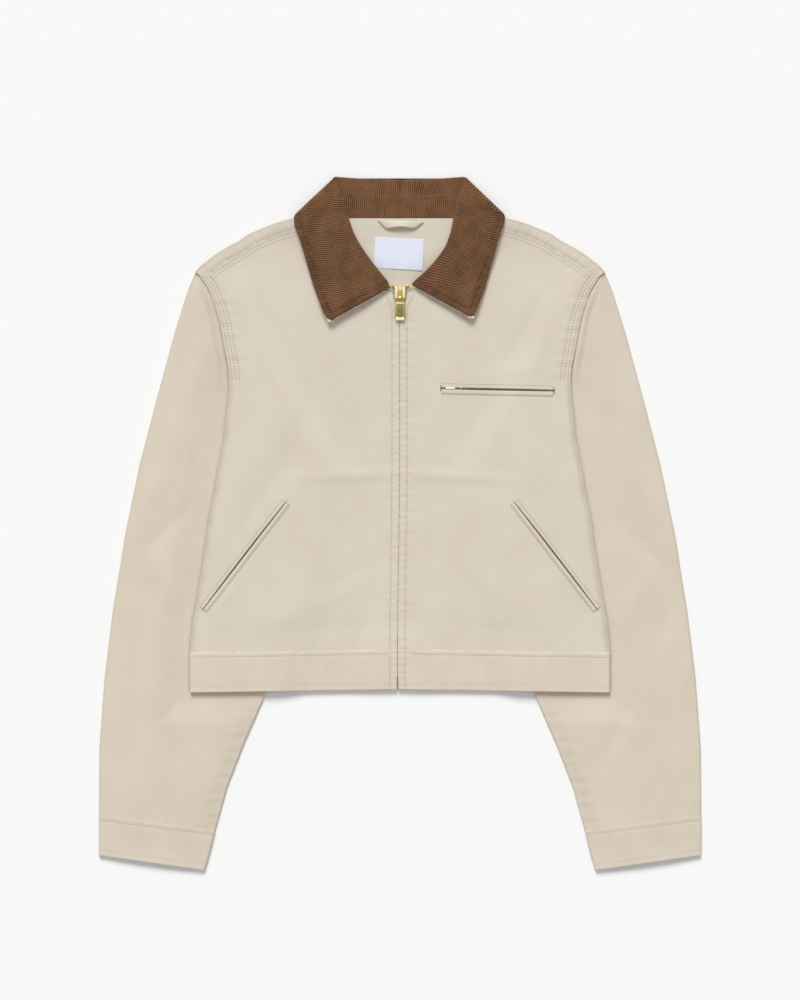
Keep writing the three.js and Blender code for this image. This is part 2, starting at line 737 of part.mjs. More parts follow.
function buildCollar() {
  const backTop = standLow + cord;
  const { left, right } = leafRows;
  const fallHalf = [
    { x: -68, y: rollY - 2 },
    { x: -108, y: left.shoulder.y - 2.5 },
    { x: -106, y: fallPoint + fallSlope * 106 },
    { x: -50, y: fallPoint + fallSlope * 30 },
  ];
  const fallOutline = [...fallHalf, ...fallHalf.map((p) => ({ x: -p.x, y: p.y })).reverse()];
  const standOutline = [
    { x: -63, y: rollY - 1.8 },
    { x: 63, y: rollY - 1.8 },
    { x: 58, y: 345 },
    { x: 60, y: 323 },
    { x: 55, y: neckY + seam },
    { x: -55, y: neckY + seam },
    { x: -60, y: 323 },
    { x: -58, y: 345 },
  ];
  let solid = cutCloth(fallOutline, () => 0, cord, coarse);
  solid = solid.add(cutCloth(standOutline, () => standLow, cord, coarse));
  const backLine = [{ x: -66, y: rollY }, { x: 0, y: rollY - 3.5 }, { x: 66, y: rollY }];
  solid = solid.add(rollBar(backLine, [0, 0, 0], [backTop, backTop, backTop], -1, 5));
  for (const leaf of [left, right]) {
    const flatOutline = leafOutline(leaf, rollInset, foldInset, 0);
    solid = solid.add(cutCloth(flatOutline, (x, y) => leafCordUnder(y), cord, fine));
    solid = solid.add(shoulderFold(leaf, leafTopHigh, cord));
    const legYs = [252, ...panelYs.filter((y) => y > 252)];
    const legEdge = legYs.map((y) => ({ x: leaf.side * (readRows(neckRows, 'y', 'x', y) - 0.6), y }));
    const legRoll = leaf.roll.slice(1).map((p) => ({ x: p.x + leaf.side * rollInset, y: p.y }));
    const legOutline = [...legRoll, ...legEdge];
    solid = solid.add(cutCloth(legOutline, standUnder, cord, 9));
    const lows = leaf.roll.map((p) => standUnder(p.x, p.y) + 0.05);
    const highs = leaf.roll.map((p) => leafCordUnder(p.y) + cord - 0.05);
    solid = solid.add(rollBar(leaf.roll, lows, highs, leaf.side, rollInset));
  }
  return toGeometry(solid);
}

function buildUnderCollar(leaf) {
  const { roll, fold, rim } = underCollarInset;
  const outline = leafOutline(leaf, roll, fold, rim);
  return toGeometry(cutCloth(outline, (x, y) => leafUnder(y), underWall, fine));
}

// A strip laid on a front along a line, made from the front's own points
function buildStrip(start, end, low, high, wall, steps) {
  const length = Math.hypot(end.x - start.x, end.y - start.y);
  const nx = -(end.y - start.y) / length;
  const ny = (end.x - start.x) / length;
  const top = [];
  const bottom = [];
  for (let i = 0; i <= steps; i += 1) {
    const x = mix(start.x, end.x, i / steps);
    const y = mix(start.y, end.y, i / steps);
    const line = [low, (low + high) / 2, high].map((off) => {
      const px = x + nx * off;
      const py = y + ny * off;
      return [px, py, frontTop(px, py) + seam];
    });
    bottom.push(line);
    top.push(raisePoints(line, wall));
  }
  return sheetWall(top, bottom);
}

function buildHandWelt(side, low, high) {
  const start = { x: side * handPocket.topX, y: handPocket.topY };
  const end = { x: side * handPocket.endX, y: handPocket.endY };
  const [a, b] = side < 0 ? [low, high] : [-high, -low];
  return buildStrip(start, end, a, b, weltWall, 14);
}

function buildTape(side) {
  const top = [];
  const bottom = [];
  for (const { y, inner } of tapeRows) {
    const inBand = 1 - ease(hemSeamY, hemSeamY + 8, y);
    const low = canvas + (bandWall - canvas) * inBand + seam;
    const line = [inner, (inner + tapeWidth) / 2, tapeWidth].map((x) => [side * x, y, low]);
    bottom.push(line);
    top.push(raisePoints(line, tapeWall));
  }
  return sheetWall(top, bottom);
}

function buildSlider() {
  const { length, width, low, high } = slider;
  const shape = new THREE.Shape([
    new THREE.Vector2(-width * 0.3, -length / 2),
    new THREE.Vector2(width * 0.3, -length / 2),
    new THREE.Vector2(width * 0.42, -length * 0.1),
    new THREE.Vector2(width / 2, length * 0.3),
    new THREE.Vector2(width * 0.36, length / 2),
    new THREE.Vector2(width * 0.1, length * 0.36),
    new THREE.Vector2(-width * 0.1, length * 0.36),
    new THREE.Vector2(-width * 0.36, length / 2),
    new THREE.Vector2(-width / 2, length * 0.3),
    new THREE.Vector2(-width * 0.42, -length * 0.1),
  ]);
  const body = new THREE.ExtrudeGeometry(shape, { depth: high - low, bevelEnabled: false });
  body.translate(0, slider.y, low);
  // The bail arches over the pull's cross bar
  const arch = [];
  for (let k = 0; k <= 10; k += 1) {
    const angle = -0.38 * Math.PI + (k / 10) * 1.76 * Math.PI;
    arch.push([Math.cos(angle), Math.sin(angle)]);
  }
  const bailInner = pull.barRadius + bail.clearance;
  const bailOuter = bailInner + bail.wall;
  const sides = [-bail.halfWidth, bail.halfWidth];
  const bendBail = (radius) => arch.map(([c, s]) => {
    const y = pull.hingeY + radius * c;
    const z = pull.hingeZ + radius * s;
    return sides.map((x) => [x, y, z]);
  });
  const bailWall = sheetWall(bendBail(bailOuter), bendBail(bailInner));
  return toGeometry(toSolid(body).add(toSolid(bailWall)));
}

function buildPull() {
  const { hingeY, hingeZ, barRadius, top, bottom, length, wall } = pull;
  const armStart = pullArm.start;
  const plate = new THREE.Shape([
    new THREE.Vector2(-top / 2, pullArm.end),
    new THREE.Vector2(-top / 2, armStart),
    new THREE.Vector2(-bottom / 2, -length * 0.8),
    new THREE.Vector2(-bottom * 0.28, -length),
    new THREE.Vector2(bottom * 0.28, -length),
    new THREE.Vector2(bottom / 2, -length * 0.8),
    new THREE.Vector2(top / 2, armStart),
    new THREE.Vector2(top / 2, pullArm.end),
  ]);
  const halfWindow = pullArm.halfWindow;
  const opening = new THREE.Path([
    new THREE.Vector2(-halfWindow, 0.2),
    new THREE.Vector2(halfWindow, 0.2),
    new THREE.Vector2(halfWindow, armStart - 0.2),
    new THREE.Vector2(-halfWindow, armStart - 0.2),
  ]);
  plate.holes.push(opening);
  const slab = new THREE.ExtrudeGeometry(plate, { depth: wall, bevelEnabled: false });
  slab.translate(0, hingeY, hingeZ - wall / 2);
  const bar = new THREE.CylinderGeometry(barRadius, barRadius, top - 0.6, 12);
  bar.rotateZ(Math.PI / 2);
  bar.translate(0, hingeY, hingeZ);
  const panelWidth = bottom * pullPanel.width;
  const panelCut = new THREE.BoxGeometry(panelWidth, length * pullPanel.length, pullPanel.depth);
  panelCut.translate(0, hingeY - length * 0.5, hingeZ + wall / 2);
  const cutWindow = new THREE.BoxGeometry(2 * halfWindow, 2, wall * 2);
  cutWindow.translate(0, hingeY + 0.9 + barRadius, hingeZ);
  const plain = toSolid(slab).add(toSolid(bar));
  return toGeometry(plain.subtract(toSolid(panelCut)).subtract(toSolid(cutWindow)));
}

// A strip of the chest pocket between two distances from its middle line
function buildChestStrip(low, high, wall) {
  const start = { x: chestPocket.left, y: chestPocket.leftY };
  const end = { x: chestPocket.right, y: chestPocket.rightY };
  return buildStrip(start, end, low, high, wall, 8);
}

function onBack(x, y) {
  return bodyBase(x, y) + canvas + seam;
}

const cuffPuff = (x, y, t) => 1.6 * Math.sin(Math.PI * t);
addPiece('back', buildBack(), canvasLook);
for (const [side, name] of [[-1, 'left'], [1, 'right']]) {
  addPiece(`front_${name}`, buildFront(side), canvasLook);
  addPiece(`sleeve_${name}`, buildTube(refineRows(sleeveRows, 2), side, canvas, sleevePuff), sleeveLook);
  addPiece(`cuff_${name}`, buildTube(cuffRows, side, bandWall, cuffPuff), sleeveLook);
  addPiece(`under_collar_${name}`, buildUnderCollar(leafRows[name]), canvasLook);
  addPiece(`zip_tape_${name}`, buildTape(side), tapeLook);
  addPiece(`pocket_welt_outer_${name}`, buildHandWelt(side, -handPocket.welt, -handPocket.slit), canvasLook);
  addPiece(`pocket_welt_inner_${name}`, buildHandWelt(side, handPocket.slit, handPocket.welt), canvasLook);
}
addPiece('hem_band', buildHemBand(), canvasLook);
addPiece('collar', buildCollar(), cordLook);
addPiece('hanger_loop', toGeometry(cutCloth(loopOutline, onBack, loopWall, 6)), canvasLook);
addPiece('label', toGeometry(cutCloth(labelOutline, onBack, labelWall, 8)), labelLook);
const { upper, lower, slit } = chestPocket;
const chestTapeHalf = slit - chestTape.inset;
addPiece('chest_welt_upper', buildChestStrip(slit, slit + upper, weltWall), canvasLook);
addPiece('chest_welt_lower', buildChestStrip(-slit - lower, -slit, weltWall), canvasLook);
addPiece('chest_zip_tape', buildChestStrip(-chestTapeHalf, chestTapeHalf, chestTape.wall), tapeLook);
addPiece('slider', buildSlider(), brassLook);
addPiece('pull_tab', buildPull(), brassLook);

export default jacket;
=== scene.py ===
# Chore jacket laid flat on its back, zip closed. Metres, +Z up, collar towards +Y.
# X runs from the centre front, and left is negative X.
from math import cos, pi, radians, sin

import bpy
import numpy as np
from mathutils import Matrix, Vector


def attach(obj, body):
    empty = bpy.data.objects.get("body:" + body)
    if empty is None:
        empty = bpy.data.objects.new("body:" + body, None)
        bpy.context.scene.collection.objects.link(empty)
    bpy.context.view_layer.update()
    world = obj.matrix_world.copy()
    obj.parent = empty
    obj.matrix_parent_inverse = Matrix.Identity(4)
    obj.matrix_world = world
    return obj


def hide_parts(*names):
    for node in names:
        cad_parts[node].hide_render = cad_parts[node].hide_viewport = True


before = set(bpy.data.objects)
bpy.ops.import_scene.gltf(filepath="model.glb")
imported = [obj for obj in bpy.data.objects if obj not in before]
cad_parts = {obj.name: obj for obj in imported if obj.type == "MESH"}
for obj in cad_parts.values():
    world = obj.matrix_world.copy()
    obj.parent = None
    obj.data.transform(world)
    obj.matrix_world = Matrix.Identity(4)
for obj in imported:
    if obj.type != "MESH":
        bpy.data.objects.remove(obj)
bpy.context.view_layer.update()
print("frame loaded")


def table(columns, rows):
    return [dict(zip(columns.split(), row)) for row in rows]


cloth = {
    "canvas": 0.0012,  # wall of the duck canvas
    "cord": 0.0016,  # wall of the corduroy
    "band": 0.0019,  # hem band and cuffs, folded double
    "gap": 0.0004,  # between cloths that lie on each other
    "seam": 0.0003,
    "loose": 0.0005,  # between the fronts and the back
}
body = {
    "width": 0.441,
    "hemSeamY": -0.1342,
    "hemBottomY": -0.1743,
    "hemDrop": 0.0034,
    "underarmY": 0.145,
    "shoulderTipY": 0.263,
    "backInset": 0.0046,
    "armholeLap": 0.013,
    "shoulderWrap": 0.013,
    "overSleeve": (0.009, 0.046),  # distances over which the body comes down beside a sleeve
    "overFall": (0.007, 0.036),  # and beside the collar's fall
    "fallReach": 0.114,
    "puff": 0.0019,
    "puffSide": 0.062,
    "puffTop": (0.215, 0.285),
    "tapeRoom": 0.0011,
    "grid": 0.00186,  # spacing of the mesh
}
collar = {
    "neckY": 0.3205,
    "rollY": 0.364,
    "rollDip": 0.0035,
    "fallPoint": 0.281,
    "fallSlope": 0.37,
    "leafRise": 0.0053,
    "leafLift": 0.0018,
    "underWall": 0.001,
    "wale": 0.00212,  # from one wale to the next
    "waleDepth": 0.00055,
    "acrossWale": 0.00042,  # spacing of the mesh across the wales
    "stitchInset": 0.0072,
}
sleeveStack = 2 * cloth["canvas"] + cloth["gap"]
shoulderStack = 3 * cloth["canvas"] + 2 * cloth["loose"]
standLow = cloth["cord"] + cloth["gap"]

# Half width of the fronts from the hem up
sideRows = table("y x", [
    (-0.134, 0.2205), (-0.122, 0.2198), (-0.100, 0.2173), (-0.076, 0.2126), (-0.028, 0.2048),
    (0.005, 0.2006), (0.029, 0.1953), (0.050, 0.1921), (0.087, 0.1848), (0.130, 0.1806),
    (0.145, 0.1790), (0.162, 0.1798), (0.187, 0.1846), (0.212, 0.1890), (0.235, 0.1964),
    (0.247, 0.2016), (0.256, 0.2080), (0.263, 0.2132),
])
# The shoulder fold, from the sleeve to the neck
shoulderRows = table("x y", [
    (0.2151, 0.2634), (0.2134, 0.2661), (0.2090, 0.2703), (0.2000, 0.2773), (0.1920, 0.2835),
    (0.1820, 0.2897), (0.1700, 0.2962), (0.1596, 0.3035), (0.1460, 0.3095), (0.1300, 0.3155),
    (0.1140, 0.3200), (0.1000, 0.3220), (0.0850, 0.3280), (0.0750, 0.3320),
])
# The fronts' inner edge: the slit, the place of the slider, then the neckline
neckRows = table("y x", [
    (-0.134, 0.0007), (0.226, 0.0007), (0.234, 0.0069), (0.242, 0.0074), (0.246, 0.0190),
    (0.264, 0.0350), (0.273, 0.0445), (0.282, 0.0525), (0.302, 0.0620), (0.320, 0.0665),
])
# Sleeve rings from the armhole to the cuff: outer edge and inner edge
sleeveRows = table("ox oy ix iy", [
    (0.2080, 0.2680, 0.0945, 0.0590), (0.2144, 0.2650, 0.0945, 0.0556),
    (0.2174, 0.2585, 0.0950, 0.0450), (0.2240, 0.2420, 0.0955, 0.0300),
    (0.2363, 0.2025, 0.0969, 0.0062), (0.2558, 0.1309, 0.1030, -0.0428),
    (0.2744, 0.0591, 0.1141, -0.0910), (0.2890, -0.0137, 0.1276, -0.1386),
    (0.3012, -0.0869, 0.1437, -0.1853), (0.3104, -0.1605, 0.1636, -0.2306),
    (0.3160, -0.2345, 0.1815, -0.2767), (0.3166, -0.3084, 0.1946, -0.3241),
])
cuffRows = table("ox oy ix iy", [
    (0.3168, -0.3085, 0.1945, -0.3242), (0.3168, -0.3290, 0.1995, -0.3450),
    (0.3166, -0.3486, 0.2050, -0.3644),
])
# Collar leaves: the roll from the back corner to the zip, then the free edge.
# The wales run from the inner to the outer edge, and their rows say how they slant.
leafRows = {
    "left": {
        "side": -1,
        "corner": (-0.0682, 0.3644),
        "shoulder": (-0.1115, 0.3235),
        "point": (-0.0745, 0.2116),
        "front": (-0.0115, 0.2465),
        "roll": [
            (-0.0662, 0.363), (-0.0540, 0.3215), (-0.0491, 0.3068), (-0.0435, 0.2956),
            (-0.0361, 0.2839), (-0.0280, 0.2730), (-0.0216, 0.2650), (-0.0108, 0.2515),
        ],
        "edge": [(-0.1110, 0.3120), (-0.1052, 0.2972), (-0.0915, 0.2505), (-0.0808, 0.2217)],
        "wales": table("step inner outer", [
            (0.00, 0.3630, 0.3644), (0.30, 0.3150, 0.3205), (0.60, 0.2650, 0.2765),
            (0.80, 0.2370, 0.2475), (1.00, 0.2118, 0.2140),
        ]),
    },
    "right": {
        "side": 1,
        "corner": (0.0685, 0.3644),
        "shoulder": (0.1110, 0.3235),
        "point": (0.0761, 0.2153),
        "front": (0.0134, 0.249),
        "roll": [
            (0.0662, 0.363), (0.0561, 0.3217), (0.0532, 0.3068), (0.0484, 0.2923),
            (0.0411, 0.2811), (0.0331, 0.2714), (0.0235, 0.2618), (0.0122, 0.2522),
        ],
        "edge": [(0.1086, 0.3120), (0.1030, 0.2956), (0.0896, 0.2473), (0.0800, 0.2217)],
        "wales": table("step inner outer", [
            (0.00, 0.3630, 0.3644), (0.20, 0.3370, 0.3310), (0.40, 0.3110, 0.2960),
            (0.60, 0.2840, 0.2650), (0.80, 0.2520, 0.2400), (1.00, 0.2155, 0.2177),
        ]),
    },
}
pocket = {
    "topX": 0.1187, "topY": 0.0227, "endX": 0.2072, "endY": -0.0918, "welt": 0.0062, "slit": 0.0001,
    "stitchInset": 0.0022,
}
chest = {
    "left": 0.0425, "right": 0.1623, "leftY": 0.1415, "rightY": 0.1388,
    "upper": 0.0068, "lower": 0.0074, "slit": 0.0004, "wall": 0.0006,
}
zipper = {
    "tapeWidth": 0.013, "tapeWall": 0.0008, "bottomY": -0.1715, "topY": 0.2275, "toothStep": 0.0022,
    "tooth": (0.0026, 0.0012, 0.0015), "toothBevel": 0.0003, "toothOffset": 0.0005,
    "openTeeth": 4, "openStart": (0.0048, 0.2478), "openStep": (0.0013, 0.0007), "openTurn": 28,
    "chestTeeth": 52, "chestScale": 0.55,
}
# Corners of the label and of the hanger loop, from the lower left round to the upper left
labelCorners = [(-0.0283, 0.2679), (0.0239, 0.2647), (0.0254, 0.2980), (-0.0260, 0.3007)]
loopCorners = [(-0.0150, 0.3092), (0.0160, 0.3092), (0.0250, 0.3168), (-0.0235, 0.3186)]
# Flat size of each sheet, across and along the cloth
flatSizes = {
    "front": (0.2205, 0.4545), "back": (0.442, 0.51), "sleeve": (0.48, 0.62), "cuff": (0.25, 0.0415),
    "hemBand": (0.886, 0.0432), "collar": (0.47, 0.15), "underCollar": (0.102, 0.118),
    "stripWidth": 0.01,  # the least width of a narrow strip
}
# Rows of stitches: distance from an edge, and one stitch to the next where it isn't the usual
sewing = {
    "flyInset": 0.0079, "flyY": (-0.133, -0.06, 0.0, 0.06, 0.226), "flyEnd": (0.0135, 0.237),
    "armholeInset": 0.0027, "armholeY": (0.15, 0.259), "armholeRows": (0, 0.0040, 0.0080),
    "sleeveRows": (0.0042, 0.0090, 0.0135), "shoulderBack": 0.0115, "shoulderFront": (0.0150, 0.0185),
    "cuffInset": 0.0030, "cuffSeam": [(0.3155, -0.3088), (0.1965, -0.3243)],
    "hemInset": 0.0033, "hemX": (0.012, 0.217), "bandStep": 0.0029,
    "outerWelt": -0.0052, "innerWelt": 0.0048, "weltStep": 0.0027, "barInset": 0.0016, "barOff": 0.0035,
    "barHalf": 0.003, "barStep": 0.0011, "endStep": 0.0024, "collarStep": 0.0031,
    "standLine": [(-0.0535, 0.3460), (-0.03, 0.3435), (0.0, 0.3424), (0.03, 0.3433), (0.052, 0.3455)],
    "labelLine": [(-0.0208, 0.2680), (0.0223, 0.2660)],
}


def ease(low, high, value):
    t = np.clip((value - low) / (high - low), 0, 1)
    return t * t * (3 - 2 * t)


def mix(a, b, t):
    return a + (b - a) * t


def near(distance, width):
    # 1 on a line, falling softly to 0 beside it
    return np.exp(-((distance / width) ** 2))


def readRows(rows, by, column, value, soften=0.0):
    # A column of a table between its rows, with its corners softened
    ordered = sorted(rows, key=lambda row: row[by])
    steps = [row[by] for row in ordered]
    values = [row[column] for row in ordered]
    if not soften:
        return np.interp(value, steps, values)
    offsets = np.linspace(-soften, soften, 7)
    return sum(np.interp(value + offset, steps, values) for offset in offsets) / len(offsets)


def onLine(points, x, y):
    # Distance to a line of points, and how far along it the nearest place lies
    best = np.full(np.shape(x), 9.0)
    along = np.zeros(np.shape(x))
    gone = 0.0
    for (ax, ay), (bx, by) in zip(points, points[1:]):
        length = np.hypot(bx - ax, by - ay)
        t = np.clip(((x - ax) * (bx - ax) + (y - ay) * (by - ay)) / length**2, 0, 1)
        far = np.hypot(x - mix(ax, bx, t), y - mix(ay, by, t))
        along = np.where(far < best, gone + t * length, along)
        best = np.minimum(best, far)
        gone += length
    return best, along


def wobble(s, seed=0.0, size=0.009):
    # An uneven wave along a line, from -1 to 1
    wave = 0.5 * np.sin(2 * pi * s / size + seed)
    wave = wave + 0.3 * np.sin(2 * pi * s / (size * 0.61) + 1.7 * seed + 1)
    return wave + 0.2 * np.sin(2 * pi * s / (size * 1.73) + 2.9 * seed + 2)


def softFolds(rows, x, y):
    # Troughs and ridges given in a table: middle, direction, half length, half width, height, bend
    height = np.zeros(np.shape(x))
    for row in rows:
        turn = radians(row["turn"])
        dx = x - row["x"]
        dy = y - row["y"]
        along = (dx * cos(turn) + dy * sin(turn)) / row["length"]
        across = (dy * cos(turn) - dx * sin(turn)) / row["width"] - row["bend"] * along**2
        height = height + row["height"] * np.exp(-along**2 - across**2)
    return height


def sewnLine(points, x, y, seed, depth=0.0003, width=0.0017):
    # The canvas sinks along a row of stitches and puckers beside it
    far, along = onLine(points, x, y)
    sink = -depth * near(far, width) * (1 + 0.35 * wobble(along, seed))
    beside = near(far - 2.2 * width, 2.4 * width)
    return sink + 0.5 * depth * beside * wobble(along, seed + 1, 0.0125)


# How the body is lifted by the sleeves at the sides and by the fall at the neck
def sleeveEdge(y):
    first = sleeveRows[0]
    above = np.clip((y - first["iy"]) / (first["oy"] - first["iy"]), 0, 1)
    onHead = mix(first["ix"], first["ox"], above)
    return np.where(y > first["iy"], onHead, readRows(sleeveRows, "iy", "ix", y))


def bodyBase(x, y):
    reach = np.abs(x)
    fromFall = np.maximum(collar["fallPoint"] + collar["fallSlope"] * reach - y, reach - body["fallReach"])
    bySleeve = (sleeveStack + cloth["gap"]) * (1 - ease(*body["overSleeve"], sleeveEdge(y) - reach))
    return bySleeve + (cloth["cord"] + cloth["gap"]) * (1 - ease(*body["overFall"], fromFall))


def frontEdge(y):
    onShoulder = readRows(shoulderRows, "y", "x", y + 0.008, 0.002)
    return np.where(y > sideRows[-1]["y"], onShoulder, readRows(sideRows, "y", "x", y, 0.004))


def aboveUnderarm(y):
    return ease(body["underarmY"] - 0.012, body["underarmY"] + 0.018, y)


def slitX(y):
    # The slit of the zip drifts a little to the left on its way down
    return -0.0005 - 0.0021 * (1 - ease(-0.13, 0.06, y))


def hemFade(y):
    return 1 - ease(body["hemSeamY"], body["hemSeamY"] + 0.13, y)


def hemShear(x, y):
    return y - body["hemDrop"] * hemFade(y) * np.abs(x) / body["width"] * 2


def frontUnder(x, y):
    # Height of the fronts' underside: over the back, the zip tapes and some air
    reach = np.abs(x)
    fromSide = frontEdge(y) - reach
    fromHem = y - body["hemSeamY"]
    puffed = ease(0, body["puffSide"], fromSide) * (1 - ease(*body["puffTop"], y))
    puffed = puffed * 0.75 * body["puff"] * (1 - 0.35 * (1 - ease(0, 0.045, fromHem)))
    tapeRoom = body["tapeRoom"] + 0.0009 * (1 - ease(0.006, 0.036, fromHem))
    overTape = tapeRoom * (1 - ease(0.25, 0.285, y)) * (1 - ease(zipper["tapeWidth"] + 0.002, 0.06, reach))
    room = cloth["loose"] + np.maximum(puffed * ease(0.01, 0.055, reach), overTape)
    turnDown = (cloth["canvas"] + cloth["loose"] - 0.0001) * (1 - ease(0, 0.006, fromSide))
    return bodyBase(x, y) + cloth["canvas"] + room - turnDown * (1 - aboveUnderarm(y))


frontFolds = table("x y turn length width height bend", [
    (-0.052, 0.050, 2, 0.048, 0.006, 0.0008, 0), (0.056, 0.049, -3, 0.050, 0.006, 0.0008, 0),
    (-0.135, 0.095, 66, 0.080, 0.020, 0.0010, 0.4), (0.140, 0.060, 112, 0.090, 0.018, 0.0010, -0.4),
    (-0.100, 0.110, 74, 0.060, 0.012, -0.0007, 0.3), (0.102, 0.092, 104, 0.052, 0.011, -0.0006, -0.2),
    (-0.150, 0.020, 58, 0.045, 0.009, -0.0006, 0), (0.158, 0.028, 118, 0.040, 0.008, -0.0006, 0),
    (-0.095, -0.085, 24, 0.062, 0.014, 0.0008, -0.3), (0.100, -0.070, 150, 0.066, 0.015, 0.0008, 0.3),
    (-0.058, -0.060, 38, 0.040, 0.009, -0.0005, 0), (0.060, -0.052, 140, 0.044, 0.010, -0.0005, 0),
    (-0.120, 0.205, 118, 0.052, 0.014, 0.0007, 0.4), (0.118, 0.212, 64, 0.048, 0.013, 0.0007, -0.4),
    (-0.158, 0.190, 100, 0.040, 0.008, -0.0006, 0.5), (0.160, 0.196, 82, 0.044, 0.009, -0.0006, -0.5),
    (-0.040, 0.170, 96, 0.060, 0.012, -0.0004, 0), (0.034, 0.090, 88, 0.070, 0.010, 0.0004, 0),
    (-0.176, -0.070, 52, 0.030, 0.007, 0.0006, 0), (0.182, -0.060, 126, 0.034, 0.007, 0.0006, 0),
    (0.120, 0.160, 10, 0.050, 0.010, 0.0005, 0), (-0.070, -0.112, 4, 0.060, 0.009, -0.0004, 0),
    (0.092, -0.110, -6, 0.055, 0.009, -0.0004, 0),
])
sleeveFolds = table("x y turn length width height bend", [
    (0.262, 0.030, 118, 0.060, 0.013, 0.0012, 0.3), (0.248, -0.010, 132, 0.050, 0.010, -0.0010, 0.4),
    (0.240, -0.070, 60, 0.055, 0.012, 0.0011, -0.3), (0.272, -0.095, 74, 0.046, 0.010, -0.0009, 0),
    (0.232, 0.110, 104, 0.052, 0.011, 0.0009, 0.3), (0.214, 0.060, 96, 0.055, 0.008, -0.0008, 0),
    (0.222, 0.180, 98, 0.045, 0.008, -0.0006, 0), (0.255, -0.170, 82, 0.060, 0.014, 0.0010, 0.2),
    (0.218, -0.215, 66, 0.040, 0.010, -0.0009, 0), (0.282, -0.225, 94, 0.050, 0.012, -0.0008, -0.3),
    (0.250, -0.262, 78, 0.034, 0.009, 0.0008, 0), (0.292, -0.150, 84, 0.060, 0.008, 0.0006, 0),
])
print("sizes read")


def newGrid(name, columns, rows, shape, size):
    # A grid moved into the shape of its cloth. shape gives x, y, z, the lift and two masks for each point.
    bpy.ops.object.select_all(action="DESELECT")
    bpy.ops.mesh.primitive_grid_add(x_subdivisions=columns, y_subdivisions=rows, size=1)
    piece = bpy.context.object
    piece.name = name
    piece.data.name = name
    mesh = piece.data
    start = np.empty(len(mesh.vertices) * 3)
    mesh.vertices.foreach_get("co", start)
    start = start.reshape(rows + 1, columns + 1, 3)
    u = start[:, :, 0] + 0.5
    v = start[:, :, 1] + 0.5
    made = shape(u, v)
    points = np.stack(np.broadcast_arrays(made["x"], made["y"], made["z"]), axis=-1).astype(float)
    alongU = np.gradient(points, axis=1)
    alongV = np.gradient(points, axis=0)
    normals = np.cross(alongU, alongV)
    normals /= np.maximum(np.linalg.norm(normals, axis=2, keepdims=True), 1e-12)
    points = points + normals * np.broadcast_to(made.get("lift", 0.0), u.shape)[..., None]
    mesh.vertices.foreach_set("co", points.ravel())
    # The first mask paints shade into the colour; the second tells the corduroy's crests from its valleys
    for mask in ("paintedShade", "crest"):
        values = np.broadcast_to(made.get(mask, 0.0), u.shape).astype(np.float32)
        mesh.attributes.new(mask, "FLOAT", "POINT").data.foreach_set("value", values.ravel())
    places = np.empty(len(mesh.loops) * 2)
    mesh.uv_layers.active.data.foreach_get("uv", places)
    mesh.uv_layers.active.data.foreach_set("uv", (places.reshape(-1, 2) * size).ravel())
    mesh.update()
    return piece


def joinPieces(name, pieces, merge=0.00002):
    bpy.ops.object.select_all(action="DESELECT")
    for piece in pieces:
        piece.select_set(True)
    bpy.context.view_layer.objects.active = pieces[0]
    if len(pieces) > 1:
        bpy.ops.object.join()
    whole = bpy.context.object
    whole.name = name
    whole.data.name = name
    bpy.ops.object.mode_set(mode="EDIT")
    bpy.ops.mesh.select_all(action="SELECT")
    bpy.ops.mesh.remove_doubles(threshold=merge)
    bpy.ops.object.mode_set(mode="OBJECT")
    return whole


def selectOnly(piece):
    bpy.ops.object.select_all(action="DESELECT")
    piece.select_set(True)
    bpy.context.view_layer.objects.active = piece


def applyAll(piece):
    selectOnly(piece)
    for modifier in list(piece.modifiers):
        bpy.ops.object.modifier_apply(modifier=modifier.name)


def thicken(piece, wall):
    # The wall grows inwards from the shaped face
    shell = piece.modifiers.new("wall", "SOLIDIFY")
    shell.thickness = wall
    shell.offset = -1
    applyAll(piece)


def finishCloth(piece, wall, material, node, angle=50):
    # Gives a sheet its wall and its finish, and hides the node that it stands for
    if wall:
        thicken(piece, wall)
    # Nothing hangs below the surface that the jacket lies on
    points = np.empty(len(piece.data.vertices) * 3)
    piece.data.vertices.foreach_get("co", points)
    points[2::3] = np.maximum(points[2::3], 0.0)
    piece.data.vertices.foreach_set("co", points)
    piece.data.update()
    bpy.ops.object.shade_smooth_by_angle(angle=radians(angle))
    piece.data.materials.clear()
    piece.data.materials.append(material)
    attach(piece, "jacket")
    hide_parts(node)


# Materials


def nodeTree(material):
    material.use_nodes = True
    tree = material.node_tree
    return tree, tree.nodes["Principled BSDF"]


def setInputs(node, values):
    for key, value in values.items():
        node.inputs[key].default_value = value


def addNode(tree, kind, values=None, **settings):
    node = tree.nodes.new(kind)
    for key, value in settings.items():
        setattr(node, key, value)
    setInputs(node, values or {})
    return node


def addBump(tree, shader, height, strength, distance):
    bump = addNode(tree, "ShaderNodeBump", {"Strength": strength, "Distance": distance})
    tree.links.new(height, bump.inputs["Height"])
    tree.links.new(bump.outputs["Normal"], shader.inputs["Normal"])


def mixColors(tree, factor, a, b):
    blend = addNode(tree, "ShaderNodeMix", data_type="RGBA")
    tree.links.new(factor, blend.inputs["Factor"])
    for label, value in (("A", a), ("B", b)):
        if isinstance(value, tuple):
            blend.inputs[label].default_value = (*value, 1)
        else:
            tree.links.new(value, blend.inputs[label])
    return blend.outputs["Result"]


def newGroup(name, inputs, outputs):
    group = bpy.data.node_groups.new(name, "ShaderNodeTree")
    for label, kind, start in inputs:
        socket = group.interface.new_socket(label, in_out="INPUT", socket_type=kind)
        if start is not None:
            socket.default_value = start
    for label, kind in outputs:
        group.interface.new_socket(label, in_out="OUTPUT", socket_type=kind)
    return group, group.nodes.new("NodeGroupInput"), group.nodes.new("NodeGroupOutput")


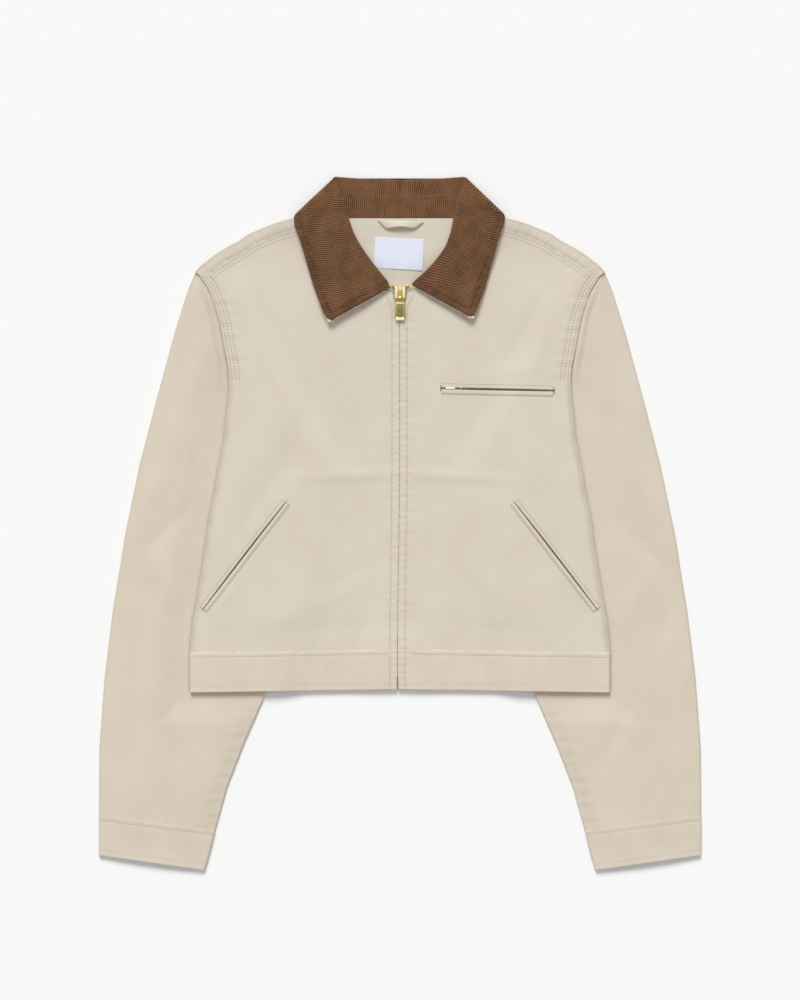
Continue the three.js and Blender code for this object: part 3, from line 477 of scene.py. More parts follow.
def mathNode(tree, operation, a, b=None):
    node = addNode(tree, "ShaderNodeMath", operation=operation)
    for socket, value in zip(node.inputs, (a, b)):
        if value is None:
            continue
        if isinstance(value, (int, float)):
            socket.default_value = value
        else:
            tree.links.new(value, socket)
    return node.outputs[0]


def makeWeave():
    # Threads over and under each other, on the piece's own UV map in metres
    group, start, end = newGroup(
        "duckWeave",
        [("Thread", "NodeSocketFloat", 0.0006)],
        [("Height", "NodeSocketFloat")],
    )
    place = group.nodes.new("ShaderNodeUVMap")
    split = group.nodes.new("ShaderNodeSeparateXYZ")
    group.links.new(place.outputs[0], split.inputs[0])
    waves = []
    for axis in (0, 1):
        count = mathNode(group, "DIVIDE", split.outputs[axis], start.outputs["Thread"])
        waves.append(mathNode(group, "SINE", mathNode(group, "MULTIPLY", count, pi)))
    both = mathNode(group, "MULTIPLY", waves[0], waves[1])
    group.links.new(mathNode(group, "MULTIPLY_ADD", both, 0.5), end.inputs["Height"])
    return group


def makeMottle():
    # Uneven dye and brushing: wide soft patches and small flecks, then painted shade along seams, edges, folds and
    # openings
    group, start, end = newGroup(
        "washedMottle",
        [
            ("Pale", "NodeSocketColor", None),
            ("Deep", "NodeSocketColor", None),
            ("PaintedShade", "NodeSocketColor", None),
            ("Patch", "NodeSocketFloat", 22.0),
            ("Fleck", "NodeSocketFloat", 420.0),
        ],
        [("Color", "NodeSocketColor"), ("Nap", "NodeSocketFloat")],
    )
    place = group.nodes.new("ShaderNodeTexCoord")
    wide = addNode(group, "ShaderNodeTexNoise", {"Detail": 4.0, "Roughness": 0.6})
    fine = addNode(group, "ShaderNodeTexNoise", {"Detail": 3.0, "Roughness": 0.7})
    paintedShade = addNode(group, "ShaderNodeAttribute", attribute_name="paintedShade")
    group.links.new(place.outputs["Object"], wide.inputs["Vector"])
    group.links.new(place.outputs["Object"], fine.inputs["Vector"])
    group.links.new(start.outputs["Patch"], wide.inputs["Scale"])
    group.links.new(start.outputs["Fleck"], fine.inputs["Scale"])
    spread = addNode(group, "ShaderNodeMapRange", {"From Min": 0.32, "From Max": 0.68})
    group.links.new(wide.outputs["Fac"], spread.inputs["Value"])
    tone = mathNode(group, "MULTIPLY", spread.outputs[0], 0.75)
    fleck = mathNode(group, "MULTIPLY", fine.outputs["Fac"], 0.3)
    tone = mathNode(group, "ADD", tone, fleck)
    dyed = mixColors(group, tone, start.outputs["Pale"], start.outputs["Deep"])
    color = mixColors(group, paintedShade.outputs["Fac"], dyed, start.outputs["PaintedShade"])
    group.links.new(color, end.inputs["Color"])
    group.links.new(fine.outputs["Fac"], end.inputs["Nap"])
    return group


weaveGroup = makeWeave()
mottleGroup = makeMottle()
canvasLook = {
    "roughness": 0.93, "sheen": 0.12, "sheenRoughness": 0.6, "thread": 0.00062,
    "weaveBump": 0.22, "napBump": 0.25, "bump": 0.6, "bumpDistance": 0.0003, "specular": 0.2,
}
# Pale, deep and painted-shade colour of each cloth, and the scale of its patches
clothColors = {
    "canvasBody": ((0.704, 0.638, 0.538), (0.664, 0.586, 0.483), (0.520, 0.452, 0.360), 22.0),
    "canvasSleeve": ((0.694, 0.615, 0.506), (0.649, 0.563, 0.455), (0.510, 0.440, 0.345), 22.0),
    "canvasBand": ((0.702, 0.620, 0.514), (0.652, 0.566, 0.462), (0.540, 0.462, 0.370), 30.0),
    "canvasEdge": ((0.760, 0.690, 0.590), (0.700, 0.620, 0.520), (0.600, 0.520, 0.430), 60.0),
    # The welt's third colour is near black: painted shade inside the pocket openings
    "canvasWelt": ((0.700, 0.635, 0.535), (0.660, 0.583, 0.480), (0.075, 0.055, 0.038), 22.0),
    "canvasThread": ((0.560, 0.470, 0.370), (0.480, 0.395, 0.300), (0.5, 0.4, 0.3), 90.0),
    "cordThread": ((0.360, 0.215, 0.130), (0.250, 0.140, 0.080), (0.15, 0.08, 0.05), 90.0),
    "label": ((0.770, 0.800, 0.900), (0.730, 0.762, 0.872), (0.60, 0.62, 0.70), 90.0),
    "zipTape": ((0.520, 0.460, 0.350), (0.400, 0.345, 0.250), (0.10, 0.08, 0.05), 90.0),
    "chestTape": ((0.120, 0.100, 0.050), (0.060, 0.050, 0.025), (0.10, 0.08, 0.05), 90.0),
}
# Colour, dark colour, roughness and metal share of each brass
brassColors = {
    "brass": ((0.900, 0.680, 0.160), (0.640, 0.440, 0.090), 0.22, 0.75),
    # Brass painted near white with little metal: a painted reflection of the lamp on the polished rails and ends
    "brassPaintedReflection": ((0.980, 0.960, 0.820), (0.930, 0.880, 0.660), 0.16, 0.3),
    "agedBrass": ((0.560, 0.480, 0.160), (0.380, 0.320, 0.110), 0.34, 0.8),
    "darkBrass": ((0.300, 0.290, 0.120), (0.200, 0.190, 0.080), 0.40, 0.6),
}


def setSheen(shader, look):
    setInputs(shader, {
        "Roughness": look["roughness"], "Sheen Weight": look["sheen"],
        "Sheen Roughness": look["sheenRoughness"], "Specular IOR Level": look["specular"],
    })


def makeCanvas(name, pale, deep, paintedShade, patch):
    material = bpy.data.materials.new(name)
    tree, shader = nodeTree(material)
    mottle = addNode(tree, "ShaderNodeGroup", node_tree=mottleGroup)
    for label, color in (("Pale", pale), ("Deep", deep), ("PaintedShade", paintedShade)):
        mottle.inputs[label].default_value = (*color, 1)
    mottle.inputs["Patch"].default_value = patch
    weave = addNode(tree, "ShaderNodeGroup", node_tree=weaveGroup)
    weave.inputs["Thread"].default_value = canvasLook["thread"]
    tree.links.new(mottle.outputs["Color"], shader.inputs["Base Color"])
    height = mathNode(tree, "MULTIPLY", weave.outputs["Height"], canvasLook["weaveBump"])
    nap = mathNode(tree, "MULTIPLY", mottle.outputs["Nap"], canvasLook["napBump"])
    both = mathNode(tree, "ADD", height, nap)
    addBump(tree, shader, both, canvasLook["bump"], canvasLook["bumpDistance"])
    setSheen(shader, canvasLook)
    return material


# The valley colour is painted shade in the grooves between the wales; the crest colour is lighter from worn pile and
# partly a painted highlight. The third mixed colour is painted shade for the stitched margins.
cordLook = {
    "crest": (0.228, 0.112, 0.051), "side": (0.100, 0.046, 0.020), "valley": (0.020, 0.009, 0.0045),
    "paintedShade": (0.150, 0.066, 0.040), "roughness": 0.9, "sheen": 0.25, "sheenRoughness": 0.45,
    "specular": 0.15,
}


def makeCorduroy():
    material = bpy.data.materials.new("corduroy")
    tree, shader = nodeTree(material)
    crest = addNode(tree, "ShaderNodeAttribute", attribute_name="crest")
    place = addNode(tree, "ShaderNodeTexCoord")
    nap = addNode(tree, "ShaderNodeTexNoise", {"Scale": 700.0, "Detail": 3.0, "Roughness": 0.7})
    patches = addNode(tree, "ShaderNodeTexNoise", {"Scale": 70.0, "Detail": 3.0})
    tree.links.new(place.outputs["Object"], nap.inputs["Vector"])
    tree.links.new(place.outputs["Object"], patches.inputs["Vector"])
    uneven = mathNode(tree, "MULTIPLY", mathNode(tree, "SUBTRACT", nap.outputs["Fac"], 0.5), 0.9)
    broad = mathNode(tree, "MULTIPLY", mathNode(tree, "SUBTRACT", patches.outputs["Fac"], 0.5), 0.7)
    tone = mathNode(tree, "ADD", crest.outputs["Fac"], mathNode(tree, "ADD", uneven, broad))
    ramp = addNode(tree, "ShaderNodeValToRGB")
    ramp.color_ramp.elements[0].color = (*cordLook["valley"], 1)
    ramp.color_ramp.elements[1].color = (*cordLook["crest"], 1)
    middle = ramp.color_ramp.elements.new(0.5)
    middle.color = (*cordLook["side"], 1)
    tree.links.new(tone, ramp.inputs["Fac"])
    paintedShade = addNode(tree, "ShaderNodeAttribute", attribute_name="paintedShade")
    color = mixColors(tree, paintedShade.outputs["Fac"], ramp.outputs["Color"], cordLook["paintedShade"])
    tree.links.new(color, shader.inputs["Base Color"])
    addBump(tree, shader, nap.outputs["Fac"], 0.5, 0.0003)
    setSheen(shader, cordLook)
    return material


def makeBrass(name, color, dark, roughness, metal):
    material = bpy.data.materials.new(name)
    tree, shader = nodeTree(material)
    place = addNode(tree, "ShaderNodeTexCoord")
    noise = addNode(tree, "ShaderNodeTexNoise", {"Scale": 450.0, "Detail": 4.0, "Roughness": 0.65})
    tree.links.new(place.outputs["Object"], noise.inputs["Vector"])
    spread = addNode(tree, "ShaderNodeMapRange", {"From Min": 0.35, "From Max": 0.7})
    tree.links.new(noise.outputs["Fac"], spread.inputs["Value"])
    tree.links.new(mixColors(tree, spread.outputs[0], color, dark), shader.inputs["Base Color"])
    rough = addNode(tree, "ShaderNodeMapRange", {"To Min": roughness, "To Max": roughness + 0.2})
    tree.links.new(noise.outputs["Fac"], rough.inputs["Value"])
    tree.links.new(rough.outputs[0], shader.inputs["Roughness"])
    addBump(tree, shader, noise.outputs["Fac"], 0.25, 0.0001)
    shader.inputs["Metallic"].default_value = metal
    return material


looks = {name: makeCanvas(name, *row) for name, row in clothColors.items()}
looks["corduroy"] = makeCorduroy()
looks.update({name: makeBrass(name, *row) for name, row in brassColors.items()})
print("materials made")


# Fronts and back


front = {
    "topY": 0.3205, "gap": 0.00012,
    "zipTop": (0.226, 0.232),  # heights over which the front edges part
    "gather": 0.00028, "crimp": 0.0003, "pocketSink": 0.0005, "armWave": 0.00025, "turned": 0.0006,
    "shadePocket": 0.95, "shadeSeam": 0.22, "shadeZip": 0.4, "shadeSide": 0.75,
}


def frontRows(side):
    # Rows of stitches on a front, as lines of points
    heights = np.linspace(*sewing["armholeY"], 12)
    armhole = [(side * (readRows(sideRows, "y", "x", y) - sewing["armholeInset"]), y) for y in heights]
    fly = [(float(slitX(y)) + side * sewing["flyInset"], y) for y in sewing["flyY"]]
    fly.append((side * sewing["flyEnd"][0], sewing["flyEnd"][1]))
    return [fly] + [[(x - side * inset, y) for x, y in armhole] for inset in sewing["armholeRows"]]


def makeFront(side):
    name = "left" if side < 0 else "right"
    sewn = frontRows(side)
    slit = [(side * pocket["topX"], pocket["topY"]), (side * pocket["endX"], pocket["endY"])]

    def shape(u, v):
        t = u if side > 0 else 1 - u
        t = mix(t, 0.5 - 0.5 * np.cos(pi * t), 0.3)
        rowY = mix(body["hemSeamY"], front["topY"], v)
        inner = readRows(neckRows, "y", "x", rowY, 0.0015)
        gap = front["gap"] + 0.0001 * (1 - ease(-0.125, -0.112, rowY))
        gap = gap + 0.0003 * np.clip(wobble(rowY, 0.6, 0.0064), 0, 1)
        inner = mix(inner, side * slitX(rowY) + gap, 1 - ease(*front["zipTop"], rowY))
        reach = mix(inner, frontEdge(rowY), t)
        fromSide = frontEdge(rowY) - reach
        x = side * reach
        y = hemShear(x, rowY)
        fromHem = y - hemShear(x, body["hemSeamY"])
        fromPocket, _ = onLine(slit, x, y)
        # Folds, sunk seams, and gathers at the hem, the zip and the armhole
        free = ease(0.0, 0.012, fromSide) * (1 - 0.6 * ease(0.27, 0.31, rowY))
        lift = softFolds(frontFolds, x, y) * free
        for k, line in enumerate(sewn):
            lift = lift + sewnLine(line, x, y, k + side)
        crimp = wobble(y + 0.25 * x, 2.1 + side, 0.0125) + 0.8 * wobble(y - 0.4 * x, 0.9 + side, 0.0058)
        crimp = crimp * near(reach - 0.0050, 0.0055) * (1 - ease(0.2, 0.24, y))
        gather = near(fromHem, 0.011) * wobble(x, 1.3, 0.0135)
        lift = lift + front["gather"] * gather + front["crimp"] * crimp
        lift = lift - front["pocketSink"] * near(fromPocket, 0.0009)
        fromArm = near(fromSide, 0.02) * aboveUnderarm(y)
        lift = lift + front["armWave"] * fromArm * wobble(y, 0.4 + side, 0.019)
        # Painted shade: dark in the pocket slit, along the stitch rows, at the zip's slit and along the side edges
        # over the sleeves
        paintedShade = front["shadePocket"] * near(fromPocket, 0.0012)
        for line in sewn:
            fromLine, _ = onLine(line, x, y)
            paintedShade = np.maximum(paintedShade, front["shadeSeam"] * near(fromLine, 0.0014))
        atZip = (1 - ease(0, 0.0016, reach - inner)) * (1 - ease(0.22, 0.24, y))
        atSide = (1 - ease(0.0015, 0.0075, fromSide)) * (1 - aboveUnderarm(rowY))
        atSide = atSide * (0.8 + 0.2 * wobble(rowY, 0.4, 0.03))
        paintedShade = np.maximum(paintedShade, np.maximum(front["shadeZip"] * atZip, front["shadeSide"] * atSide))
        z = frontUnder(x, rowY) + cloth["canvas"] + 0.0001 * near(fromHem, 0.007)
        z = z - front["turned"] * (1 - ease(0, 0.0022, fromSide)) * aboveUnderarm(rowY)
        return {"x": x, "y": y, "z": z, "lift": lift, "paintedShade": paintedShade}

    flat = flatSizes["front"]
    columns, rows = (round(size / body["grid"]) for size in flat)
    piece = newGrid(f"front_{name}_cloth", columns, rows, shape, flat)
    finishCloth(piece, cloth["canvas"], looks["canvasBody"], f"front_{name}")


def backEdge(y):
    lap = mix(body["backInset"], body["armholeLap"], aboveUnderarm(y) * (1 - ease(0.205, 0.256, y)))
    onShoulder = readRows(shoulderRows, "y", "x", y + 0.003)
    return np.where(y > body["shoulderTipY"], onShoulder, frontEdge(y) - lap)


backFolds = table("x y turn length width height bend", [
    (-0.02, 0.27, 70, 0.03, 0.008, 0.0005, 0), (0.03, 0.262, 118, 0.026, 0.007, -0.0004, 0),
    (-0.034, 0.290, 40, 0.02, 0.006, -0.0003, 0),
])


back = {"bottomY": -0.134, "grid": (116, 140), "cloth": (0.43, 0.455)}
# The strip over each shoulder: shares of its width that lie under the back and that end the fold
shoulder = {
    "under": 0.16, "folded": 0.45, "underDepth": 0.010, "settle": 0.0011, "wall": 0.0006,
    "grid": (110, 26), "width": 0.03,
}


def makeWrap(side):
    xs, ys = np.array([(row["x"], row["y"]) for row in shoulderRows]).T
    gone = np.concatenate([[0], np.cumsum(np.hypot(np.diff(xs), np.diff(ys)))])
    half = (shoulderStack - shoulder["settle"]) / 2
    under, folded = shoulder["under"], shoulder["folded"]

    def shape(u, v):
        s = (u if side < 0 else 1 - u) * gone[-1]
        x, y = np.interp(s, gone, xs), np.interp(s, gone, ys)
        step = 0.004
        dx = np.interp(s + step, gone, xs) - np.interp(s - step, gone, xs)
        dy = np.interp(s + step, gone, ys) - np.interp(s - step, gone, ys)
        length = np.hypot(dx, dy)
        across = 1 - v
        angle = np.clip((across - under) / (folded - under), 0, 1) * pi
        beneath = mix(shoulder["underDepth"], half, across / under)
        depth = np.where(across < under, beneath, half - half * np.sin(angle))
        onFront = mix(half, body["shoulderWrap"], (across - folded) / (1 - folded))
        depth = np.where(across > folded, onFront, depth)
        x, y = x - dy / length * depth, y + dx / length * depth
        z = (half - half * np.cos(angle)) * mix(0.8, 1, ease(0, 0.022, s))
        z = z - 0.0004 * ease(0.007, 0.0125, depth) * ease(folded, folded + 0.05, across)
        onTop = ease(folded - 0.05, folded + 0.1, across)
        seam = near(depth - sewing["shoulderBack"], 0.0011)
        lift = onTop * (0.00022 * wobble(s, 0.8 + side, 0.012) - 0.00025 * seam)
        # Painted shade along the back stitch row, and over the whole fold and the part beneath, against the bright rim
        # the lamp gives the fold
        paintedShade = np.maximum(onTop * 0.2 * seam, 1 - ease(folded - 0.05, folded + 0.05, across))
        return {"x": side * x, "y": y, "z": z + bodyBase(x, y), "lift": lift, "paintedShade": paintedShade}

    strip = newGrid("wrap", *shoulder["grid"], shape, (gone[-1], shoulder["width"]))
    thicken(strip, shoulder["wall"])
    return strip


def makeBack():
    def shape(u, v):
        rowY = mix(back["bottomY"], collar["neckY"] - cloth["seam"], v)
        x = mix(-1, 1, u) * backEdge(rowY)
        y = hemShear(x, rowY)
        inNeck = ease(0.24, 0.26, y) * (1 - ease(0.05, 0.07, np.abs(x)))
        lift = softFolds(backFolds, x, y) * inNeck
        return {"x": x, "y": y, "z": bodyBase(x, rowY) + cloth["canvas"], "lift": lift}

    plate = newGrid("plate", *back["grid"], shape, back["cloth"])
    wraps = [makeWrap(-1), makeWrap(1)]
    thicken(plate, cloth["canvas"])
    piece = joinPieces("back_cloth", [plate, *wraps])
    finishCloth(piece, 0, looks["canvasBody"], "back")


# Sleeves, cuffs and hem band


def tubeShape(rows, side, wall, puff, extra):
    # Around a flattened tube: outer edge, over the top, inner edge, back underneath
    half = (2 * wall + cloth["gap"]) / 2
    topShare, turn = 0.62, 0.06
    underShare = (1 - topShare - 2 * turn) / 2
    marks = [0, underShare, underShare + turn, underShare + turn + topShare, 1 - underShare, 1]

    def shape(u, v):
        t = v * (len(rows) - 1)
        steps = np.arange(len(rows))
        columns = [[row[key] for row in rows] for key in ("ox", "oy", "ix", "iy")]
        ox, oy, ix, iy = (np.interp(t, steps, column) for column in columns)
        width = np.hypot(ix - ox, iy - oy)
        a = u if side > 0 else 1 - u  # starts and ends under the sleeve
        share = np.interp(a, marks, [0.5, 0.0, 0.0, 1.0, 1.0, 0.5])
        outerTurn = np.clip((a - marks[1]) / turn, 0, 1) * pi
        innerTurn = np.clip((a - marks[3]) / turn, 0, 1) * pi
        flatReach = half + share * (width - 2 * half)
        reach = flatReach - half * np.sin(outerTurn) + half * np.sin(innerTurn)
        z = half - half * np.cos(outerTurn)
        z = np.where(a > marks[3], half + half * np.cos(innerTurn), z)
        across = reach / width
        x = mix(ox, ix, across)
        y = mix(oy, iy, across)
        onTop = ease(0.35, 0.95, z / (2 * half))
        z = z + onTop * puff(x, y, np.clip(across, 0, 1))
        lift, paintedShade = extra(x, y, across, t, width)
        return {"x": side * x, "y": y, "z": z, "lift": lift * onTop, "paintedShade": paintedShade * onTop}

    return shape


sleeve = {
    "puff": 0.0016, "freePuff": 0.0014, "ringStep": 0.074, "grid": (132, 230), "cloth": (0.42, 0.6),
    "seamSink": 0.0003, "seamWave": 0.0003, "gather": 0.00045,
    "head": 0.0017, "hollow": 0.0010, "tip": 0.0011,
    "shadeRows": 0.2, "shadeHollow": 0.5, "shadeSeam": 0.9, "shadeEdge": 0.45,
}
cuff = {
    "puff": 0.0016, "seamPuff": 0.0013, "ringStep": 0.02, "grid": (160, 30), "cloth": (0.235, 0.041),
    "seamInset": 0.0028, "endInset": 0.004,
}


def beyondBody(x, y):
    # Distance outwards from the body's side, or down from its hem
    fromHem = body["hemBottomY"] - body["hemDrop"] - y
    return np.maximum(x - frontEdge(np.maximum(y, body["hemSeamY"])), fromHem)


def sleevePuff(x, y, t):
    outside = ease(0.006, 0.038, beyondBody(x, y))
    fromBack = x - backEdge(np.minimum(y, body["shoulderTipY"]))
    atArmhole = np.where(y > body["underarmY"], ease(0.003, 0.013, fromBack), outside)
    byArmhole = ease(body["underarmY"] + 0.014, body["underarmY"] + 0.042, y)
    rounded = np.sin(pi * np.clip(t, 0, 1)) ** 0.6
    return rounded * (sleeve["puff"] * mix(outside, atArmhole, byArmhole) + sleeve["freePuff"] * outside)


def makeSleeve(side):
    name = "left" if side < 0 else "right"

    def extra(x, y, across, t, width):
        fromArmhole = x - frontEdge(y)
        fromOuter, fromInner = across * width, (1 - across) * width
        free = ease(0.004, 0.03, beyondBody(x, y))
        shift = 0.006 * (side > 0)
        lift = softFolds(sleeveFolds, x - shift, y + 2 * shift)
        for k, inset in enumerate(sewing["sleeveRows"]):
            uneven = 1 + 0.4 * wobble(y, k + side, 0.008)
            lift = lift - sleeve["seamSink"] * near(fromInner - inset, 0.0013) * uneven
        lift = lift + sleeve["seamWave"] * near(fromInner - 0.008, 0.009) * wobble(y, 0.5 + side, 0.014)
        fromCuff = (len(sleeveRows) - 1 - t) * sleeve["ringStep"]
        gather = near(fromCuff, 0.016) * ease(0, 0.01, fromCuff) * wobble(fromOuter, 2.2 + side, 0.0145)
        onHead = ease(0.13, 0.165, y)
        head = ease(0.0006, 0.0035, fromArmhole) * (1 - ease(0.006, 0.036, fromArmhole)) * onHead
        head = head * ease(0.001, 0.014, fromOuter)
        hollow = near(fromArmhole - 0.0085, 0.0026) * onHead * (1 - ease(0.222, 0.25, y))
        tip = near(fromArmhole - 0.0005, 0.004) * ease(0.210, 0.232, y)
        lift = lift * free + sleeve["gather"] * gather
        lift = lift + sleeve["head"] * head - sleeve["hollow"] * hollow + sleeve["tip"] * tip
        bySeam = (1 - ease(0.0, 0.0034, fromArmhole)) * ease(-0.006, 0.0, fromArmhole)
        bySeam = bySeam * (1 - ease(0.250, 0.262, y)) * ease(-0.181, -0.176, y)
        # Painted shade: along the seam rows, in the hollow by the armhole, on the strip beside the body's edge and
        # along the rounded outer edge
        paintedShade = sleeve["shadeRows"] * near(fromInner - 0.009, 0.0055) * free
        paintedShade = np.maximum(paintedShade, sleeve["shadeHollow"] * hollow * (0.7 + 0.3 * wobble(y, 1.1 + side, 0.02)))
        paintedShade = np.maximum(paintedShade, sleeve["shadeSeam"] * bySeam)
        paintedShade = np.maximum(paintedShade, sleeve["shadeEdge"] * (1 - ease(0.0, 0.003, fromOuter)))
        return lift, paintedShade

    shape = tubeShape(sleeveRows, side, cloth["canvas"], sleevePuff, extra)
    piece = joinPieces(f"sleeve_{name}_cloth", [newGrid("tube", *sleeve["grid"], shape, sleeve["cloth"])])
    look = looks["canvasSleeve"]
    finishCloth(piece, cloth["canvas"], look, f"sleeve_{name}")


def makeCuff(side):
    name = "left" if side < 0 else "right"

    def extra(x, y, across, t, width):
        s = across * width
        fromSeam, fromEnd = t * cuff["ringStep"], (2 - t) * cuff["ringStep"]
        rounded = np.sin(pi * np.clip(across, 0, 1)) ** 0.6
        lift = 0.00025 * wobble(s, 1 + side, 0.017) * (1 - 0.5 * t / 2)
        lift = lift + cuff["seamPuff"] * rounded * (1 - ease(0.0, 1.5, t))
        lift = lift - 0.0003 * near(fromSeam - cuff["seamInset"], 0.0012)
        lift = lift - 0.0002 * near(fromEnd - cuff["endInset"], 0.0014) * (1 + 0.5 * wobble(s, 3, 0.009))
        # Painted shade along the end fold and along the seam row
        paintedShade = 0.25 * near(fromEnd, 0.0016) + 0.2 * near(fromSeam - cuff["seamInset"], 0.0015)
        return lift, paintedShade

    def puff(x, y, t):
        return cuff["puff"] * np.sin(pi * t)

    shape = tubeShape(cuffRows, side, cloth["band"], puff, extra)
    piece = joinPieces(f"cuff_{name}_cloth", [newGrid("tube", *cuff["grid"], shape, cuff["cloth"])])
    look = looks["canvasBand"]
    finishCloth(piece, cloth["band"], look, f"cuff_{name}")


hemBand = {
    "lap": 0.0018,  # the part that goes under the fronts
    "turnShare": 0.012, "settle": 0.0011, "grid": (480, 26), "cloth": (0.884, 0.04),
}


def makeHemBand():
    half = cloth["band"] + cloth["gap"] / 2
    halfWidth = body["width"] / 2
    turnShare = hemBand["turnShare"]
    frontShare = 0.25 - turnShare / 2

    def shape(u, v):
        # From the centre front to the right, round the back, and to the centre front again
        side = np.where(u < 0.5, 1, -1)
        w = np.where(u < 0.5, u, 1 - u)
        onFront = np.clip(w / frontShare, 0, 1)
        angle = np.clip((w - frontShare) / turnShare, 0, 1) * pi
        onBack = np.clip((w - frontShare - turnShare) / (0.5 - frontShare - turnShare), 0, 1)
        flat = halfWidth - half
        rowY = mix(body["hemBottomY"], body["hemSeamY"] + hemBand["lap"], v)
        start = side * slitX(rowY) + mix(0.0008, 0.00022, ease(-0.164, -0.160, rowY))
        reach = np.where(w < frontShare, mix(start, flat, onFront), flat + half * np.sin(angle))
        reach = np.where(onBack > 0, mix(flat, 0, onBack), reach)
        x = side * reach
        z = half + half * np.cos(angle)
        top = ease(0.4, 0.95, z / (2 * half))
        rise = body["tapeRoom"] * (1 - ease(zipper["tapeWidth"] + 0.002, 0.06, reach))
        rise = rise + 0.0005 * np.sin(reach / halfWidth * pi)
        y = rowY - body["hemDrop"] * np.minimum(1, reach / halfWidth)
        z = z + top * rise + bodyBase(np.minimum(reach, halfWidth - 0.004), rowY)
        z = z - top * hemBand["settle"] * ease(0.945, 1.0, v)
        lift = 0.0003 * wobble(x, 0.7, 0.021) * np.sin(pi * v)
        lift = lift + 0.00025 * wobble(x + 0.3 * y, 2.4, 0.013) * v
        lift = lift - 0.0003 * near(v - 0.89, 0.04) - 0.0002 * near(v - 0.10, 0.05)
        # Painted shade along the lower fold, along the seam, at the zip's slit and along the fly row
        paintedShade = 0.25 * near(v, 0.05) + 0.2 * near(v - 0.93, 0.05)
        paintedShade = np.maximum(paintedShade, 0.4 * (1 - ease(0, 0.002, reach - start)))
        fly = near(reach - side * slitX(rowY) - 0.008, 0.0014)
        lift = lift - 0.0003 * fly + 0.0003 * near(reach - 0.004, 0.006) * wobble(y, 1.9, 0.007)
        paintedShade = np.maximum(paintedShade, 0.2 * fly)
        return {"x": x, "y": y, "z": z, "lift": lift * top, "paintedShade": paintedShade * top}

    piece = newGrid("hem_band_cloth", *hemBand["grid"], shape, hemBand["cloth"])
    look, rests = looks["canvasBand"], ["sleeve_left", "sleeve_right"]
    finishCloth(piece, cloth["band"], look, "hem_band")


# Collar


def standUnder(x, y):
    overBack = bodyBase(x, y) + cloth["canvas"] + cloth["gap"]
    return mix(overBack, standLow, ease(collar["neckY"] - 0.001, collar["neckY"] + 0.009, y))


def leafUnder(y):
    return collar["leafRise"] + collar["leafLift"] * ease(0.252, 0.296, y)


def leafCurl(y):
    # The points of the leaves stand a little proud of the fronts
    return 0.0044 * (1 - ease(0.210, 0.258, y))


def leafTop(y):
    plain = leafUnder(y) + collar["underWall"] + cloth["seam"] + cloth["cord"] + leafCurl(y)
    return mix(plain, 0.0046, ease(0.338, 0.3644, y))


def waleHeight(count):
    crest = np.abs(np.sin(pi * count)) ** 0.7
    return -collar["waleDepth"] * (1 - crest), crest


def lineAt(points, y, soften=0.003):
    rows = [{"x": x, "y": height} for x, height in points]
    return readRows(rows, "y", "x", y, soften)


def leafLines(leaf):
    # Inner line (roll, then lower edge) and outer line (shoulder fold, then free edge)
    s = leaf["side"]
    px, py = leaf["point"]
    inner = [*leaf["roll"], leaf["front"], (px - s * 0.0016, py + 0.0002)]
    outer = [leaf["corner"], leaf["shoulder"], *leaf["edge"], (px + s * 0.0012, py + 0.0024)]
    return inner, outer


